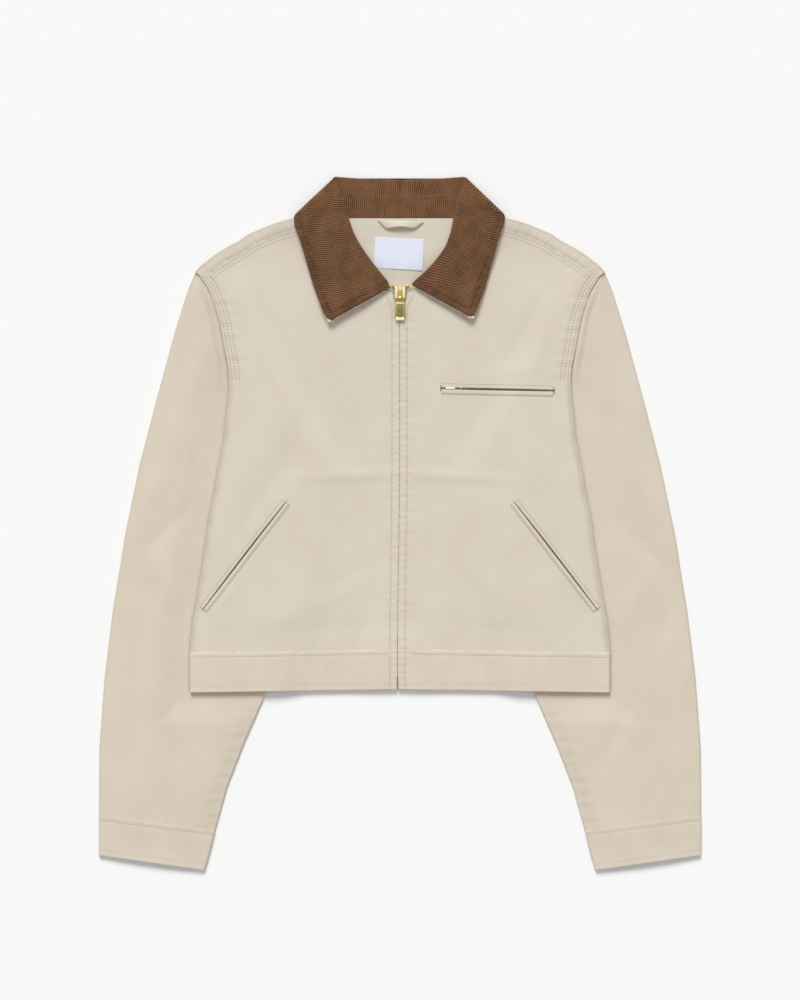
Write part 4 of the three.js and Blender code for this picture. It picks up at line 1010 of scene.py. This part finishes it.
def makeLeaf(leaf):
    s = leaf["side"]
    inner, outer = leafLines(leaf)
    frontY = leaf["front"][1]
    cx, cy = leaf["corner"]
    sx, sy = leaf["shoulder"]
    length = np.hypot(sx - cx, sy - cy)
    inX, inY = -s * (cy - sy) / length, -abs(cx - sx) / length
    rows = round((inner[0][1] - inner[-1][1]) / collar["acrossWale"])
    wales = (inner[0][1] - inner[-1][1]) / collar["wale"]

    def stepAt(column, y):
        # The row of the leaf that ends at a height
        steps = leaf["wales"]
        return float(np.interp(-y, [-row[column] for row in steps], [row["step"] for row in steps]))

    def section(v):
        # The two ends of a row, how far it goes round the shoulder, and its roll at the neck
        innerY = readRows(leaf["wales"], "step", "inner", 1 - v, 0.02)
        outerY = readRows(leaf["wales"], "step", "outer", 1 - v, 0.02)
        ix, ox = lineAt(inner, innerY), lineAt(outer, outerY)
        low = standUnder(ix, innerY)
        radius = (leafTop(innerY) - low) / 2 * ease(frontY + 0.001, frontY + 0.012, innerY)
        onFold = ease(sy - 0.004, sy + 0.010, outerY)
        return {"ix": ix, "iy": innerY, "ox": ox, "oy": outerY, "onFold": onFold, "low": low, "radius": radius}

    def top(u, v):
        row = section(v)
        t = u if s > 0 else 1 - u
        half = leafTop(row["oy"]) / 2
        x = mix(row["ix"] + s * row["radius"], row["ox"] + inX * half * row["onFold"], t)
        y = mix(row["iy"], row["oy"] + inY * half * row["onFold"], t)
        count = (1 - v) * wales + 0.25 * np.sin(t * 5 + s) + 0.12 * np.sin(t * 17 + 9 * v)
        lift, crest = waleHeight(count)
        rim, along = onLine([*outer[1:], *inner[:-3:-1]], x, y)
        inset = collar["stitchInset"]
        sink = near(rim - inset, 0.0011)
        margin = 1 - ease(inset - 0.001, inset + 0.001, rim)
        tuck = np.sin(2 * pi * along / 0.0037 + 1.3 * wobble(along, 0.5, 0.03)) ** 2 * margin
        lift = lift * (1 - 0.15 * margin) - 0.0007 * sink - 0.0004 * tuck
        lift = lift + 0.0003 * margin * wobble(along, 1.1, 0.011) - 0.0008 * (1 - ease(0, 0.0016, rim))
        lift = lift + softFolds(leafFolds, np.abs(x), y) * ease(0, 0.02, rim)
        # Painted shade in the stitched margin; the crests painted darker in the stitch groove and the tucks
        paintedShade = np.clip(0.14 * margin * (0.6 + 0.4 * wobble(along, 0.3, 0.005)), 0, 1)
        crest = crest - 0.3 * sink - 0.14 * tuck
        return {"x": x, "y": y, "z": leafTop(y), "lift": lift, "paintedShade": paintedShade, "crest": crest}

    frontStep, shoulderStep = stepAt("inner", frontY + 0.0015), stepAt("outer", sy)

    def roll(u, v):
        # From the neck seam along a leg, then round the roll to the leaf
        v = mix(1 - frontStep, 1, v)
        row = section(v)
        t = u if s > 0 else 1 - u
        leg = 0.35
        bend = (1 - np.clip((t - leg) / (1 - leg), 0, 1)) * pi
        onLeg = np.clip(1 - t / leg, 0, 1)
        legStart = np.abs(row["ix"]) + row["radius"]
        legEnd = readRows(neckRows, "y", "x", row["iy"]) - 0.0006
        reach = mix(legStart, np.maximum(legEnd, legStart + 0.001), onLeg)
        reach = np.where(onLeg > 0, reach, legStart - row["radius"] * np.sin(bend))
        z = row["low"] + row["radius"] + row["radius"] * np.cos(bend)
        lift, crest = waleHeight((1 - v) * wales + 0.25 * np.sin(s))
        return {"x": s * reach, "y": row["iy"], "z": z, "lift": lift, "crest": crest}

    def fold(u, v):
        # Round the shoulder, from the leaf to the fall behind the back
        v = mix(1 - shoulderStep, 1, v)
        row = section(v)
        t = u if s > 0 else 1 - u
        turned = 0.8
        turn = np.clip(t / turned, 0, 1) * pi
        half = leafTop(row["oy"]) / 2
        depth = half - half * np.sin(turn) + np.clip((t - turned) / (1 - turned), 0, 1) * 0.006
        x = row["ox"] + inX * depth * row["onFold"]
        y = row["oy"] + inY * depth * row["onFold"]
        lift, crest = waleHeight((1 - v) * wales + 0.25 * np.sin(5 + s))
        return {"x": x, "y": y, "z": half + half * np.cos(turn), "lift": lift, "crest": crest}

    return [
        newGrid("leaf", 30, rows, top, (0.055, 0.15)),
        newGrid("roll", 14, round(rows * frontStep), roll, (0.03, 0.11)),
        newGrid("fold", 12, round(rows * shoulderStep), fold, (0.02, 0.04)),
    ]


leafFolds = table("x y turn length width height bend", [
    (0.083, 0.290, 100, 0.030, 0.012, 0.0008, 0), (0.060, 0.262, 120, 0.026, 0.009, -0.0006, 0),
    (0.066, 0.335, 80, 0.024, 0.007, 0.0007, 0), (0.076, 0.238, 75, 0.018, 0.010, 0.0006, 0),
])


def makeStand():
    topZ = standLow + cloth["cord"]
    radius = topZ / 2

    def rollLine(x):
        return collar["rollY"] - collar["rollDip"] * (1 - np.minimum(1, np.abs(x) / 0.066) ** 1.5)

    def shape(u, v):
        across = mix(-1, 1, u)
        standShare = 0.62
        w = np.clip(v / standShare, 0, 1)  # from the neck seam up
        turn = np.clip((v - standShare) / (1 - standShare), 0, 1) * pi
        wide = np.interp(w, [0, 0.1, 0.55, 1], [0.0560, 0.0600, 0.0620, 0.0680])
        x = across * wide
        y = mix(collar["neckY"] + cloth["seam"], rollLine(x) - radius, w) + radius * np.sin(turn)
        z = radius + radius * np.cos(turn)
        slant = 0.9 * across**3 * w
        lift, crest = waleHeight(across * 0.062 / collar["wale"] + slant)
        stitch = near(y - 0.3457 - 0.0035 * across**2, 0.0009) * (turn <= 0)
        seam = near(x, 0.0011) * ease(0.345, 0.351, y) * (turn <= 0)
        lift = lift - 0.0003 * stitch - 0.0003 * seam
        # Crests painted a little lighter against the shade from the leaves, and darker in the centre seam's groove;
        # painted shade along the stitch row
        crest = crest + 0.05 - 0.35 * seam
        return {"x": x, "y": y, "z": z, "lift": lift, "crest": crest, "paintedShade": 0.2 * stitch}

    def fall(u, v):
        across = mix(1, -1, u)
        x = across * 0.108
        reach = np.abs(x)
        foldTop = np.interp(reach, [0, 0.0666, 0.1115], [0.3622, 0.3622, 0.3215])
        bottom = np.interp(reach, [0, 0.05, 0.108], [0.2921, 0.2921, 0.3200])
        y = mix(bottom, np.maximum(foldTop, bottom + 0.001), v)
        lift, crest = waleHeight(x / collar["wale"])
        return {"x": x, "y": y, "z": 0.0, "lift": lift, "crest": crest}

    return [newGrid("stand", 300, 26, shape, (0.13, 0.05)), newGrid("fall", 400, 12, fall, (0.216, 0.08))]


def makeCollar():
    pieces = makeStand() + makeLeaf(leafRows["left"]) + makeLeaf(leafRows["right"])
    piece = joinPieces("collar_cloth", pieces, 0.00004)
    look, rests = looks["corduroy"], ["front_left", "front_right", "back"]
    finishCloth(piece, cloth["cord"] * 0.8, look, "collar", 70)


def makeUnderCollar(name):
    leaf = leafRows[name]
    s = leaf["side"]
    inner, outer = leafLines(leaf)
    growSide, growLow = 0.0003, 0.0009

    def shape(u, v):
        t = u if s > 0 else 1 - u
        innerY = mix(leaf["point"][1] - growLow * 0.6, 0.318, v)
        ix = lineAt(inner, innerY) + s * 0.012 * ease(leaf["front"][1] - 0.004, leaf["front"][1] + 0.012, innerY)
        ox = lineAt(outer, innerY) + s * growSide
        lower = 1 - ease(leaf["front"][1] - 0.006, leaf["front"][1], innerY)
        ix = ix - s * growLow * 1.6 * lower
        x = mix(ix, ox, t)
        lift = 0.00012 * wobble(x + innerY, 1.7, 0.006)
        z = leafUnder(innerY) + collar["underWall"] + 0.00025 + leafCurl(innerY)
        return {"x": x, "y": innerY, "z": z, "lift": lift}

    piece = newGrid(f"under_collar_{name}_cloth", 40, 76, shape, (0.09, 0.11))
    look, flat, rests = looks["canvasEdge"], flatSizes["underCollar"], [f"front_{name}"]
    finishCloth(piece, collar["underWall"], look, f"under_collar_{name}")


# Strips on the fronts: pocket welts, chest pocket, label and loop


def onFront(x, y):
    return frontUnder(x, y) + cloth["canvas"] + softFolds(frontFolds, x, y)


strip = {"grid": 0.0015, "rows": 16, "tapeHalf": 0.0034, "tapeSunk": 0.0005, "slitStep": 0.0005}


def makeStrip(name, node, line, low, high, sewn, slitSide, slitWidth, sunk=0.0):
    # slitSide says which long edge is the free lip: 1 the high one, -1 the low one, 0 none
    (ax, ay), (bx, by) = line
    length = np.hypot(bx - ax, by - ay)
    nx, ny = -(by - ay) / length, (bx - ax) / length

    def shape(u, v):
        off = mix(low, high, v)
        s = u * length
        x = mix(ax, bx, u) + nx * off
        y = mix(ay, by, u) + ny * off
        lip, sewnEdge = (high - off, off - low) if slitSide > 0 else (off - low, high - off)
        lift = 0.0001 * wobble(s, low * 900, 0.0085)
        if slitSide:
            # The lip rolls over a little, and the other edges run into the front
            lift = lift + 0.0003 * (ease(0, 0.0012, lip) - 1) + 0.0009 * (ease(-0.0004, 0.003, sewnEdge) - 1)
            lift = lift + 0.0009 * (ease(0, 0.0022, np.minimum(s, length - s)) - 1)
        paintedShade = 0.0 * x
        # Painted shade along the stitch rows
        for inset in sewn:
            sink = near(off - inset, 0.0011)
            lift = lift - 0.0002 * sink * (1 + 0.4 * wobble(s, inset * 700, 0.007))
            paintedShade = paintedShade + 0.15 * sink
        if slitWidth:
            # The slit itself, widest in the middle of the pocket, painted near black as the shade inside the opening
            wide = slitWidth * (0.2 + 0.8 * np.sin(pi * u) ** 0.8)
            inside = 1 - ease(wide, wide + strip["slitStep"], lip)
            lift = lift - 0.0003 * inside
            paintedShade = np.maximum(paintedShade, 0.95 * inside)
        return {"x": x, "y": y, "z": onFront(x, y) - sunk + chest["wall"], "lift": lift, "paintedShade": paintedShade}

    piece = newGrid(name, round(length / strip["grid"]), strip["rows"], shape, (length, high - low))
    look, slot = (looks["canvasWelt"], "canvas_body") if slitSide else (looks["chestTape"], "zip_tape")
    finishCloth(piece, chest["wall"] * 0.9, look, node)


def makePockets():
    inset = pocket["stitchInset"]
    for side, name in ((-1, "left"), (1, "right")):
        line = [(side * pocket["topX"], pocket["topY"]), (side * pocket["endX"], pocket["endY"])][::-side]
        low, high = pocket["slit"], pocket["welt"]
        for node, span, sewn, slitSide, slitWidth in (
            (f"pocket_welt_outer_{name}", (-high, -low), inset - high, 1, 0.0013),
            (f"pocket_welt_inner_{name}", (low, high), high - inset, -1, 0),
        ):
            makeStrip(f"{node}_cloth", node, line, *span, [sewn], slitSide, slitWidth)


def makeChestPocket():
    line = [(chest["left"], chest["leftY"]), (chest["right"], chest["rightY"])]
    slit, inset = chest["slit"], pocket["stitchInset"]
    top, low = slit + chest["upper"], -slit - chest["lower"]
    for where, span, sewn, slitSide, slitWidth in (
        ("upper", (slit, top), top - inset, -1, 0.0005),
        ("lower", (low, -slit), low + inset, 1, 0.0004),
    ):
        node = f"chest_welt_{where}"
        makeStrip(f"{node}_cloth", node, line, *span, [sewn], slitSide, slitWidth)
    half = strip["tapeHalf"]
    makeStrip("chest_tape_cloth", "chest_zip_tape", line, -half, half, [], 0, 0, strip["tapeSunk"])


def makePatch(name, node, corners, height, wall, look, grid, bow=0.0):
    # A small piece of cloth between four corners, from the lower left round to the upper left
    (ax, ay), (bx, by), (cx, cy), (dx, dy) = corners

    def shape(u, v):
        x = mix(mix(ax, bx, u), mix(dx, cx, u), v)
        y = mix(mix(ay, by, u), mix(dy, cy, u), v) + bow * np.sin(pi * u) ** 2 * (1 - v)
        edge = np.minimum(np.minimum(u, 1 - u), np.minimum(v, 1 - v))
        lift = height(u, v) - 0.0003 * (1 - ease(0, 0.03, edge))
        # Painted shade towards the edges
        paintedShade = 0.5 * (1 - ease(0.0, 0.02, edge))
        z = bodyBase(x, y) + cloth["canvas"] + cloth["seam"] + wall
        return {"x": x, "y": y, "z": z, "lift": lift, "paintedShade": paintedShade}

    wide, long = np.hypot(bx - ax, by - ay), np.hypot(dx - ax, dy - ay)
    piece = newGrid(name, *grid, shape, (wide, long))
    finishCloth(piece, wall * 0.9, looks[look], node)


def labelRipple(u, v):
    return 0.0002 * wobble(u * 0.05, 1.0, 0.02) * np.sin(pi * v)


def loopArch(u, v):
    return 0.0007 + 0.0032 * np.sin(pi * u) * (1 - 0.6 * v) + 0.0002 * np.sin(pi * v)


for side in (-1, 1):
    makeFront(side)
    makeSleeve(side)
    makeCuff(side)
print("fronts, sleeves and cuffs made")
makeBack()
makeHemBand()
print("back and hem band made")
makeCollar()
makeUnderCollar("left")
makeUnderCollar("right")
print("collar made")
makePockets()
makeChestPocket()
makePatch("label_cloth", "label", labelCorners, labelRipple, 0.0004, "label", (60, 40))
loopGrid, loopWall, loopBow = (60, 12), 0.0011, 0.0018
makePatch(
    "hanger_loop_cloth", "hanger_loop", loopCorners, loopArch, loopWall, "canvasBody", loopGrid, loopBow
)
print("pockets, label and loop made")


# Stitches, laid on the finished cloths

stitch = {"length": 0.0022, "width": 0.0008, "height": 0.00036, "step": 0.0032}


def copyMany(name, base, places, material, body):
    # One mesh of many copies of a small one, each at its own place and turn
    corners = np.array([tuple(point.co) for point in base.data.vertices])
    faces = [tuple(face.vertices) for face in base.data.polygons]
    points, joined = [], []
    for k, place in enumerate(places):
        turned = corners @ np.array(place.to_3x3()).T + np.array(place.translation)
        points.append(turned)
        joined += [tuple(corner + k * len(corners) for corner in face) for face in faces]
    mesh = bpy.data.meshes.new(name)
    mesh.from_pydata(np.concatenate(points).tolist(), [], joined)
    mesh.update()
    piece = bpy.data.objects.new(name, mesh)
    bpy.context.scene.collection.objects.link(piece)
    for face in mesh.polygons:
        face.use_smooth = True
    mesh.materials.append(material)
    bpy.data.objects.remove(base)
    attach(piece, body)
    return piece


def makeThread():
    bpy.ops.object.select_all(action="DESELECT")
    bpy.ops.mesh.primitive_uv_sphere_add(segments=5, ring_count=4, radius=1)
    base = bpy.context.object
    bpy.ops.object.mode_set(mode="EDIT")
    bpy.ops.mesh.select_all(action="SELECT")
    size = (stitch["length"] / 2, stitch["width"] / 2, stitch["height"])
    bpy.ops.transform.rotate(value=pi / 2, orient_axis="Y", center_override=(0, 0, 0))
    bpy.ops.transform.resize(value=size, center_override=(0, 0, 0))
    bpy.ops.object.mode_set(mode="OBJECT")
    return base


def sewRow(points, onto, step=None):
    # Where each stitch of a row lies on a cloth
    step = step or stitch["step"]
    target = bpy.data.objects[onto]
    xs, ys = np.array(points, float).T
    gone = np.concatenate([[0], np.cumsum(np.hypot(np.diff(xs), np.diff(ys)))])
    places = []
    count = max(1, int(gone[-1] / step))
    for k in range(count):
        s = (k + 0.5) * gone[-1] / count
        x, y = float(np.interp(s, gone, xs)), float(np.interp(s, gone, ys))
        ahead = (float(np.interp(s + 0.001, gone, xs)), float(np.interp(s + 0.001, gone, ys)))
        back = (float(np.interp(s - 0.001, gone, xs)), float(np.interp(s - 0.001, gone, ys)))
        hit, at, normal, _ = target.ray_cast(Vector((x, y, 0.05)), Vector((0, 0, -1)))
        if not hit or normal.z < 0.5:
            continue
        along = Vector((ahead[0] - back[0], ahead[1] - back[1], 0)).normalized()
        along = (along - normal * along.dot(normal)).normalized()
        side = normal.cross(along)
        turn = Matrix((along, side, normal)).transposed().to_4x4()
        places.append(Matrix.Translation(at + normal * 0.00004) @ turn)
    return places


def offsetLine(points, distance):
    # A line beside another one, to its left
    xs, ys = np.array(points, float).T
    dx, dy = np.gradient(xs), np.gradient(ys)
    length = np.hypot(dx, dy)
    return list(zip(xs - dy / length * distance, ys + dx / length * distance))


def sewPocket(side, name):
    # Two long rows and a bar at each end
    top = np.array((side * pocket["topX"], pocket["topY"]))
    end = np.array((side * pocket["endX"], pocket["endY"]))
    along = (end - top) / np.linalg.norm(end - top)
    across = np.array((along[1], -along[0])) * side
    places = []
    for off, where in ((sewing["outerWelt"], "outer"), (sewing["innerWelt"], "inner")):
        line = [top + across * off, end + across * off]
        places += sewRow(line, f"pocket_welt_{where}_{name}_cloth", sewing["weltStep"])
    half = sewing["barHalf"]
    for place, way in ((top, 1), (end, -1)):
        bar = place + along * sewing["barInset"] * way
        for off, where in ((-sewing["barOff"], "outer"), (sewing["barOff"], "inner")):
            line = [bar + across * (off - half), bar + across * (off + half)]
            places += sewRow(line, f"pocket_welt_{where}_{name}_cloth", sewing["barStep"])
    return places


def sewChestPocket():
    places = []
    inset = pocket["stitchInset"]
    ends = ((chest["left"], chest["leftY"], 1), (chest["right"], chest["rightY"], -1))
    top, low = chest["slit"] + chest["upper"] - inset, -chest["slit"] - chest["lower"] + inset
    for off, where in ((top, "upper"), (low, "lower")):
        onto = f"chest_welt_{where}_cloth"
        places += sewRow([(x + 0.002 * way, y + off) for x, y, way in ends], onto, sewing["weltStep"])
        for x, y, way in ends:
            x = x + 0.0022 * way
            places += sewRow([(x, y + off * 0.2), (x, y + off * 1.1)], onto, sewing["endStep"])
    return places


def sewCollar():
    places = []
    inset, step = collar["stitchInset"], sewing["collarStep"]
    for leaf in leafRows.values():
        s = leaf["side"]
        (px, py), (fx, fy) = leaf["point"], leaf["front"]
        corner = (px - s * inset * 0.48, py + inset * 1.41)
        edge = offsetLine([leaf["shoulder"], *leaf["edge"]], -s * inset)
        places += sewRow([*edge[:-1], corner], "collar_cloth", step)
        places += sewRow([corner, (fx + s * inset * 0.49, fy + inset * 0.88)], "collar_cloth", step)
    return places + sewRow(sewing["standLine"], "collar_cloth", step)


def sewJacket():
    bpy.context.view_layer.update()
    rows = {"fronts": [], "sleeves": [], "hem": [], "shoulders": [], "pockets": []}
    for side, name in ((-1, "left"), (1, "right")):
        for line in frontRows(side):
            rows["fronts"] += sewRow(line, f"front_{name}_cloth")
        fold = [(side * row["x"], row["y"]) for row in shoulderRows[2:-1]]
        rows["shoulders"] += sewRow(offsetLine(fold, side * sewing["shoulderBack"]), "back_cloth")
        for inset in sewing["shoulderFront"]:
            rows["shoulders"] += sewRow(offsetLine(fold, side * inset), f"front_{name}_cloth")
        inner = [(side * row["ix"], row["iy"]) for row in sleeveRows[5:]]
        for inset in sewing["sleeveRows"]:
            rows["sleeves"] += sewRow(offsetLine(inner, -side * inset), f"sleeve_{name}_cloth")
        seam = [(side * x, y - sewing["cuffInset"]) for x, y in sewing["cuffSeam"]]
        rows["sleeves"] += sewRow(seam, f"cuff_{name}_cloth", sewing["bandStep"])
        hemX = side * np.linspace(*sewing["hemX"], 9)
        hem = [(x, hemShear(x, body["hemSeamY"]) - sewing["hemInset"]) for x in hemX]
        rows["hem"] += sewRow(hem, "hem_band_cloth", sewing["bandStep"])
        flyY = (body["hemBottomY"] + 0.002, body["hemSeamY"] - 0.002)
        rows["hem"] += sewRow([(float(slitX(y)) + side * sewing["flyInset"], y) for y in flyY], "hem_band_cloth")
        rows["pockets"] += sewPocket(side, name)
    rows["pockets"] += sewChestPocket()
    for name, places in rows.items():
        copyMany(f"stitches_{name}", makeThread(), places, looks["canvasThread"], "jacket")
    copyMany("stitches_collar", makeThread(), sewCollar(), looks["cordThread"], "jacket")
    labelRow = sewRow(sewing["labelLine"], "label_cloth", sewing["weltStep"])
    copyMany("stitches_label", makeThread(), labelRow, looks["label"], "jacket")


sewJacket()
print("stitches made")


# Zip: teeth, slider and pull tab


def makeTooth():
    bpy.ops.object.select_all(action="DESELECT")
    bpy.ops.mesh.primitive_cube_add(size=1)
    base = bpy.context.object
    bpy.ops.object.mode_set(mode="EDIT")
    bpy.ops.mesh.select_all(action="SELECT")
    bpy.ops.transform.resize(value=(0.0026, 0.0012, 0.0015), center_override=(0, 0, 0))
    bpy.ops.mesh.bevel(offset=0.0003, segments=1, affect="EDGES")
    bpy.ops.object.mode_set(mode="OBJECT")
    return base


def makeTeeth():
    z = cloth["canvas"] + 0.0003 + zipper["tapeWall"] + 0.0005
    places = []
    count = int((zipper["topY"] - zipper["bottomY"]) / zipper["toothStep"])
    for k in range(count):
        y = zipper["bottomY"] + k * zipper["toothStep"]
        side = 1 if k % 2 else -1
        lift = 0.0008 * float(1 - ease(-0.134, -0.126, y))
        places.append(Matrix.Translation((float(slitX(y)) + side * 0.0005, y, z + lift)))
    for side in (-1, 1):
        for k in range(4):
            # Above the slider the two rows part
            x, y = side * (0.0048 + 0.0013 * k), 0.2478 + 0.0007 * k
            turn = Matrix.Rotation(side * radians(-28), 4, "Z")
            places.append(Matrix.Translation((x, y, z + 0.0006)) @ turn)
    copyMany("zip_teeth", makeTooth(), places, looks["brass"], "jacket")
    chestPlaces = []
    for k in range(52):
        t = (k + 0.5) / 52
        x, y = mix(chest["left"] + 0.002, chest["right"] - 0.004, t), mix(chest["leftY"], chest["rightY"], t)
        height = float(onFront(np.array(x), np.array(y)))
        turn = Matrix.Rotation(pi / 2, 4, "Z") @ Matrix.Scale(0.55, 4)
        chestPlaces.append(Matrix.Translation((x, y + 0.0002 * (k % 2), height + 0.0005)) @ turn)
    copyMany("chest_zip_teeth", makeTooth(), chestPlaces, looks["darkBrass"], "jacket")
    height = float(onFront(np.array(chest["left"]), np.array(chest["leftY"]))) + 0.0007
    makeRail("chest_zip_end", chest["left"] + 0.0105, chest["leftY"], height, (0.0098, 0.0017, 0.0009), 0.0003, looks["brassPaintedReflection"])
    makeRail("chest_zip_bit", chest["left"] + 0.0212, chest["leftY"], height, (0.0014, 0.0022, 0.0009), 0.0003, looks["brass"])


def refineNode(node, bevel, body, material):
    # A finer copy of a hard piece, with its edges rounded
    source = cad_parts[node]
    piece = source.copy()
    piece.data = source.data.copy()
    piece.parent = None
    for key in list(piece.keys()):
        del piece[key]
    bpy.context.scene.collection.objects.link(piece)
    piece.name = f"{node}_fine"
    bpy.ops.object.select_all(action="DESELECT")
    piece.select_set(True)
    bpy.context.view_layer.objects.active = piece
    bpy.ops.object.mode_set(mode="EDIT")
    bpy.ops.mesh.select_all(action="SELECT")
    bpy.ops.mesh.remove_doubles(threshold=0.00001)
    bpy.ops.mesh.dissolve_limited(angle_limit=radians(3))
    bpy.ops.object.mode_set(mode="OBJECT")
    soft = piece.modifiers.new("edge", "BEVEL")
    soft.width = bevel
    soft.segments = 3
    soft.angle_limit = radians(35)
    applyAll(piece)
    bpy.ops.object.shade_smooth_by_angle(angle=radians(40))
    piece.data.materials.clear()
    piece.data.materials.append(material)
    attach(piece, body)
    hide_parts(node)
    return piece


def makeRail(name, x, y, z, size, bevel, material, rides="jacket"):
    bpy.ops.object.select_all(action="DESELECT")
    bpy.ops.mesh.primitive_cube_add(size=1)
    rail = bpy.context.object
    rail.name = name
    bpy.ops.object.mode_set(mode="EDIT")
    bpy.ops.mesh.select_all(action="SELECT")
    bpy.ops.transform.resize(value=size, center_override=(0, 0, 0))
    bpy.ops.transform.translate(value=(x, y, z))
    bpy.ops.mesh.bevel(offset=bevel, segments=3, affect="EDGES")
    bpy.ops.object.mode_set(mode="OBJECT")
    bpy.ops.object.shade_smooth_by_angle(angle=radians(40))
    rail.data.materials.append(material)
    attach(rail, rides)
    return rail


def makeZip():
    makeTeeth()
    refineNode("slider", 0.0003, "jacket", looks["brass"])
    refineNode("pull_tab", 0.00025, "pull", looks["agedBrass"])
    for side, name in ((-1, "left"), (1, "right")):
        makeRail(f"slider_rail_{name}", side * 0.0041, 0.2415, 0.0050, (0.0026, 0.0118, 0.0016), 0.0006, looks["brassPaintedReflection"])
    makeRail("slider_bail", 0, 0.2405, 0.0053, (0.0030, 0.0100, 0.0016), 0.0006, looks["brass"])
    tab = [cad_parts["pull_tab"].matrix_world @ Vector(corner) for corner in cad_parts["pull_tab"].bound_box]
    low, top = min(corner.y for corner in tab), max(corner.z for corner in tab)
    makeRail("pull_panel", 0, low + 0.0108, top, (0.0062, 0.0125, 0.0003), 0.0001, looks["darkBrass"], "pull")
    makeRail("pull_end", 0, low + 0.0021, top, (0.0092, 0.0034, 0.0008), 0.00035, looks["brassPaintedReflection"], "pull")
    # The notch is a dark plate laid on the tab's end: painted shade of the notch
    makeRail("pull_notch", 0, low + 0.0041, top + 0.0004, (0.0012, 0.0016, 0.0003), 0.0001, looks["darkBrass"], "pull")
    makeRail("pull_crossbar", 0, low + 0.0185, top, (0.0082, 0.0012, 0.0006), 0.00025, looks["brassPaintedReflection"], "pull")
    for side, name in ((-1, "left"), (1, "right")):
        x, y = side * 0.0039, low + 0.0110
        makeRail(f"pull_edge_{name}", x, y, top, (0.0009, 0.0130, 0.0005), 0.0002, looks["brass"], "pull")


makeZip()
print("zip made")

for name in ("zip_tape_left", "zip_tape_right"):
    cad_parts[name].data.materials.clear()
    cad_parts[name].data.materials.append(looks["zipTape"])

# Floor, light and camera
stage = {"floor": (0.93, 0.93, 0.93), "world": 0.50, "key": 2.62, "keyAngle": 26, "keyFrom": (-0.17, 1.0, 0.80)}


def makeStage():
    bpy.ops.object.select_all(action="DESELECT")
    bpy.ops.mesh.primitive_plane_add(size=12, location=(0, 0, -0.0003))
    floor = bpy.context.object
    floor.name = "floor"
    material = bpy.data.materials.new("floor")
    tree, shader = nodeTree(material)
    shader.inputs["Base Color"].default_value = (*stage["floor"], 1)
    shader.inputs["Roughness"].default_value = 0.9
    floor.data.materials.append(material)
    world = bpy.data.worlds.new("studio")
    bpy.context.scene.world = world
    world.use_nodes = True
    world.node_tree.nodes["Background"].inputs["Color"].default_value = (1, 1, 1, 1)
    world.node_tree.nodes["Background"].inputs["Strength"].default_value = stage["world"]
    bpy.ops.object.light_add(type="SUN", location=stage["keyFrom"])
    key = bpy.context.object
    key.name = "key"
    key.data.angle = radians(stage["keyAngle"])
    key.data.energy = stage["key"]
    key.rotation_euler = Vector(stage["keyFrom"]).to_track_quat("Z", "Y").to_euler()
    bpy.context.scene.view_settings.view_transform = "Standard"


def makeCamera():
    view = {"height": 3.0, "frameHeight": 1.05, "centreY": 0.02415, "jacketTop": 0.005}
    data = bpy.data.cameras.new("camera")
    camera = bpy.data.objects.new("camera", data)
    bpy.context.scene.collection.objects.link(camera)
    camera.location = (0, view["centreY"], view["height"] + view["jacketTop"])
    data.sensor_fit = "VERTICAL"
    data.sensor_height = 24.0
    data.lens = data.sensor_height * view["height"] / view["frameHeight"]
    data.clip_end = 20
    bpy.context.scene.camera = camera


makeStage()
makeCamera()

print("scene ready")
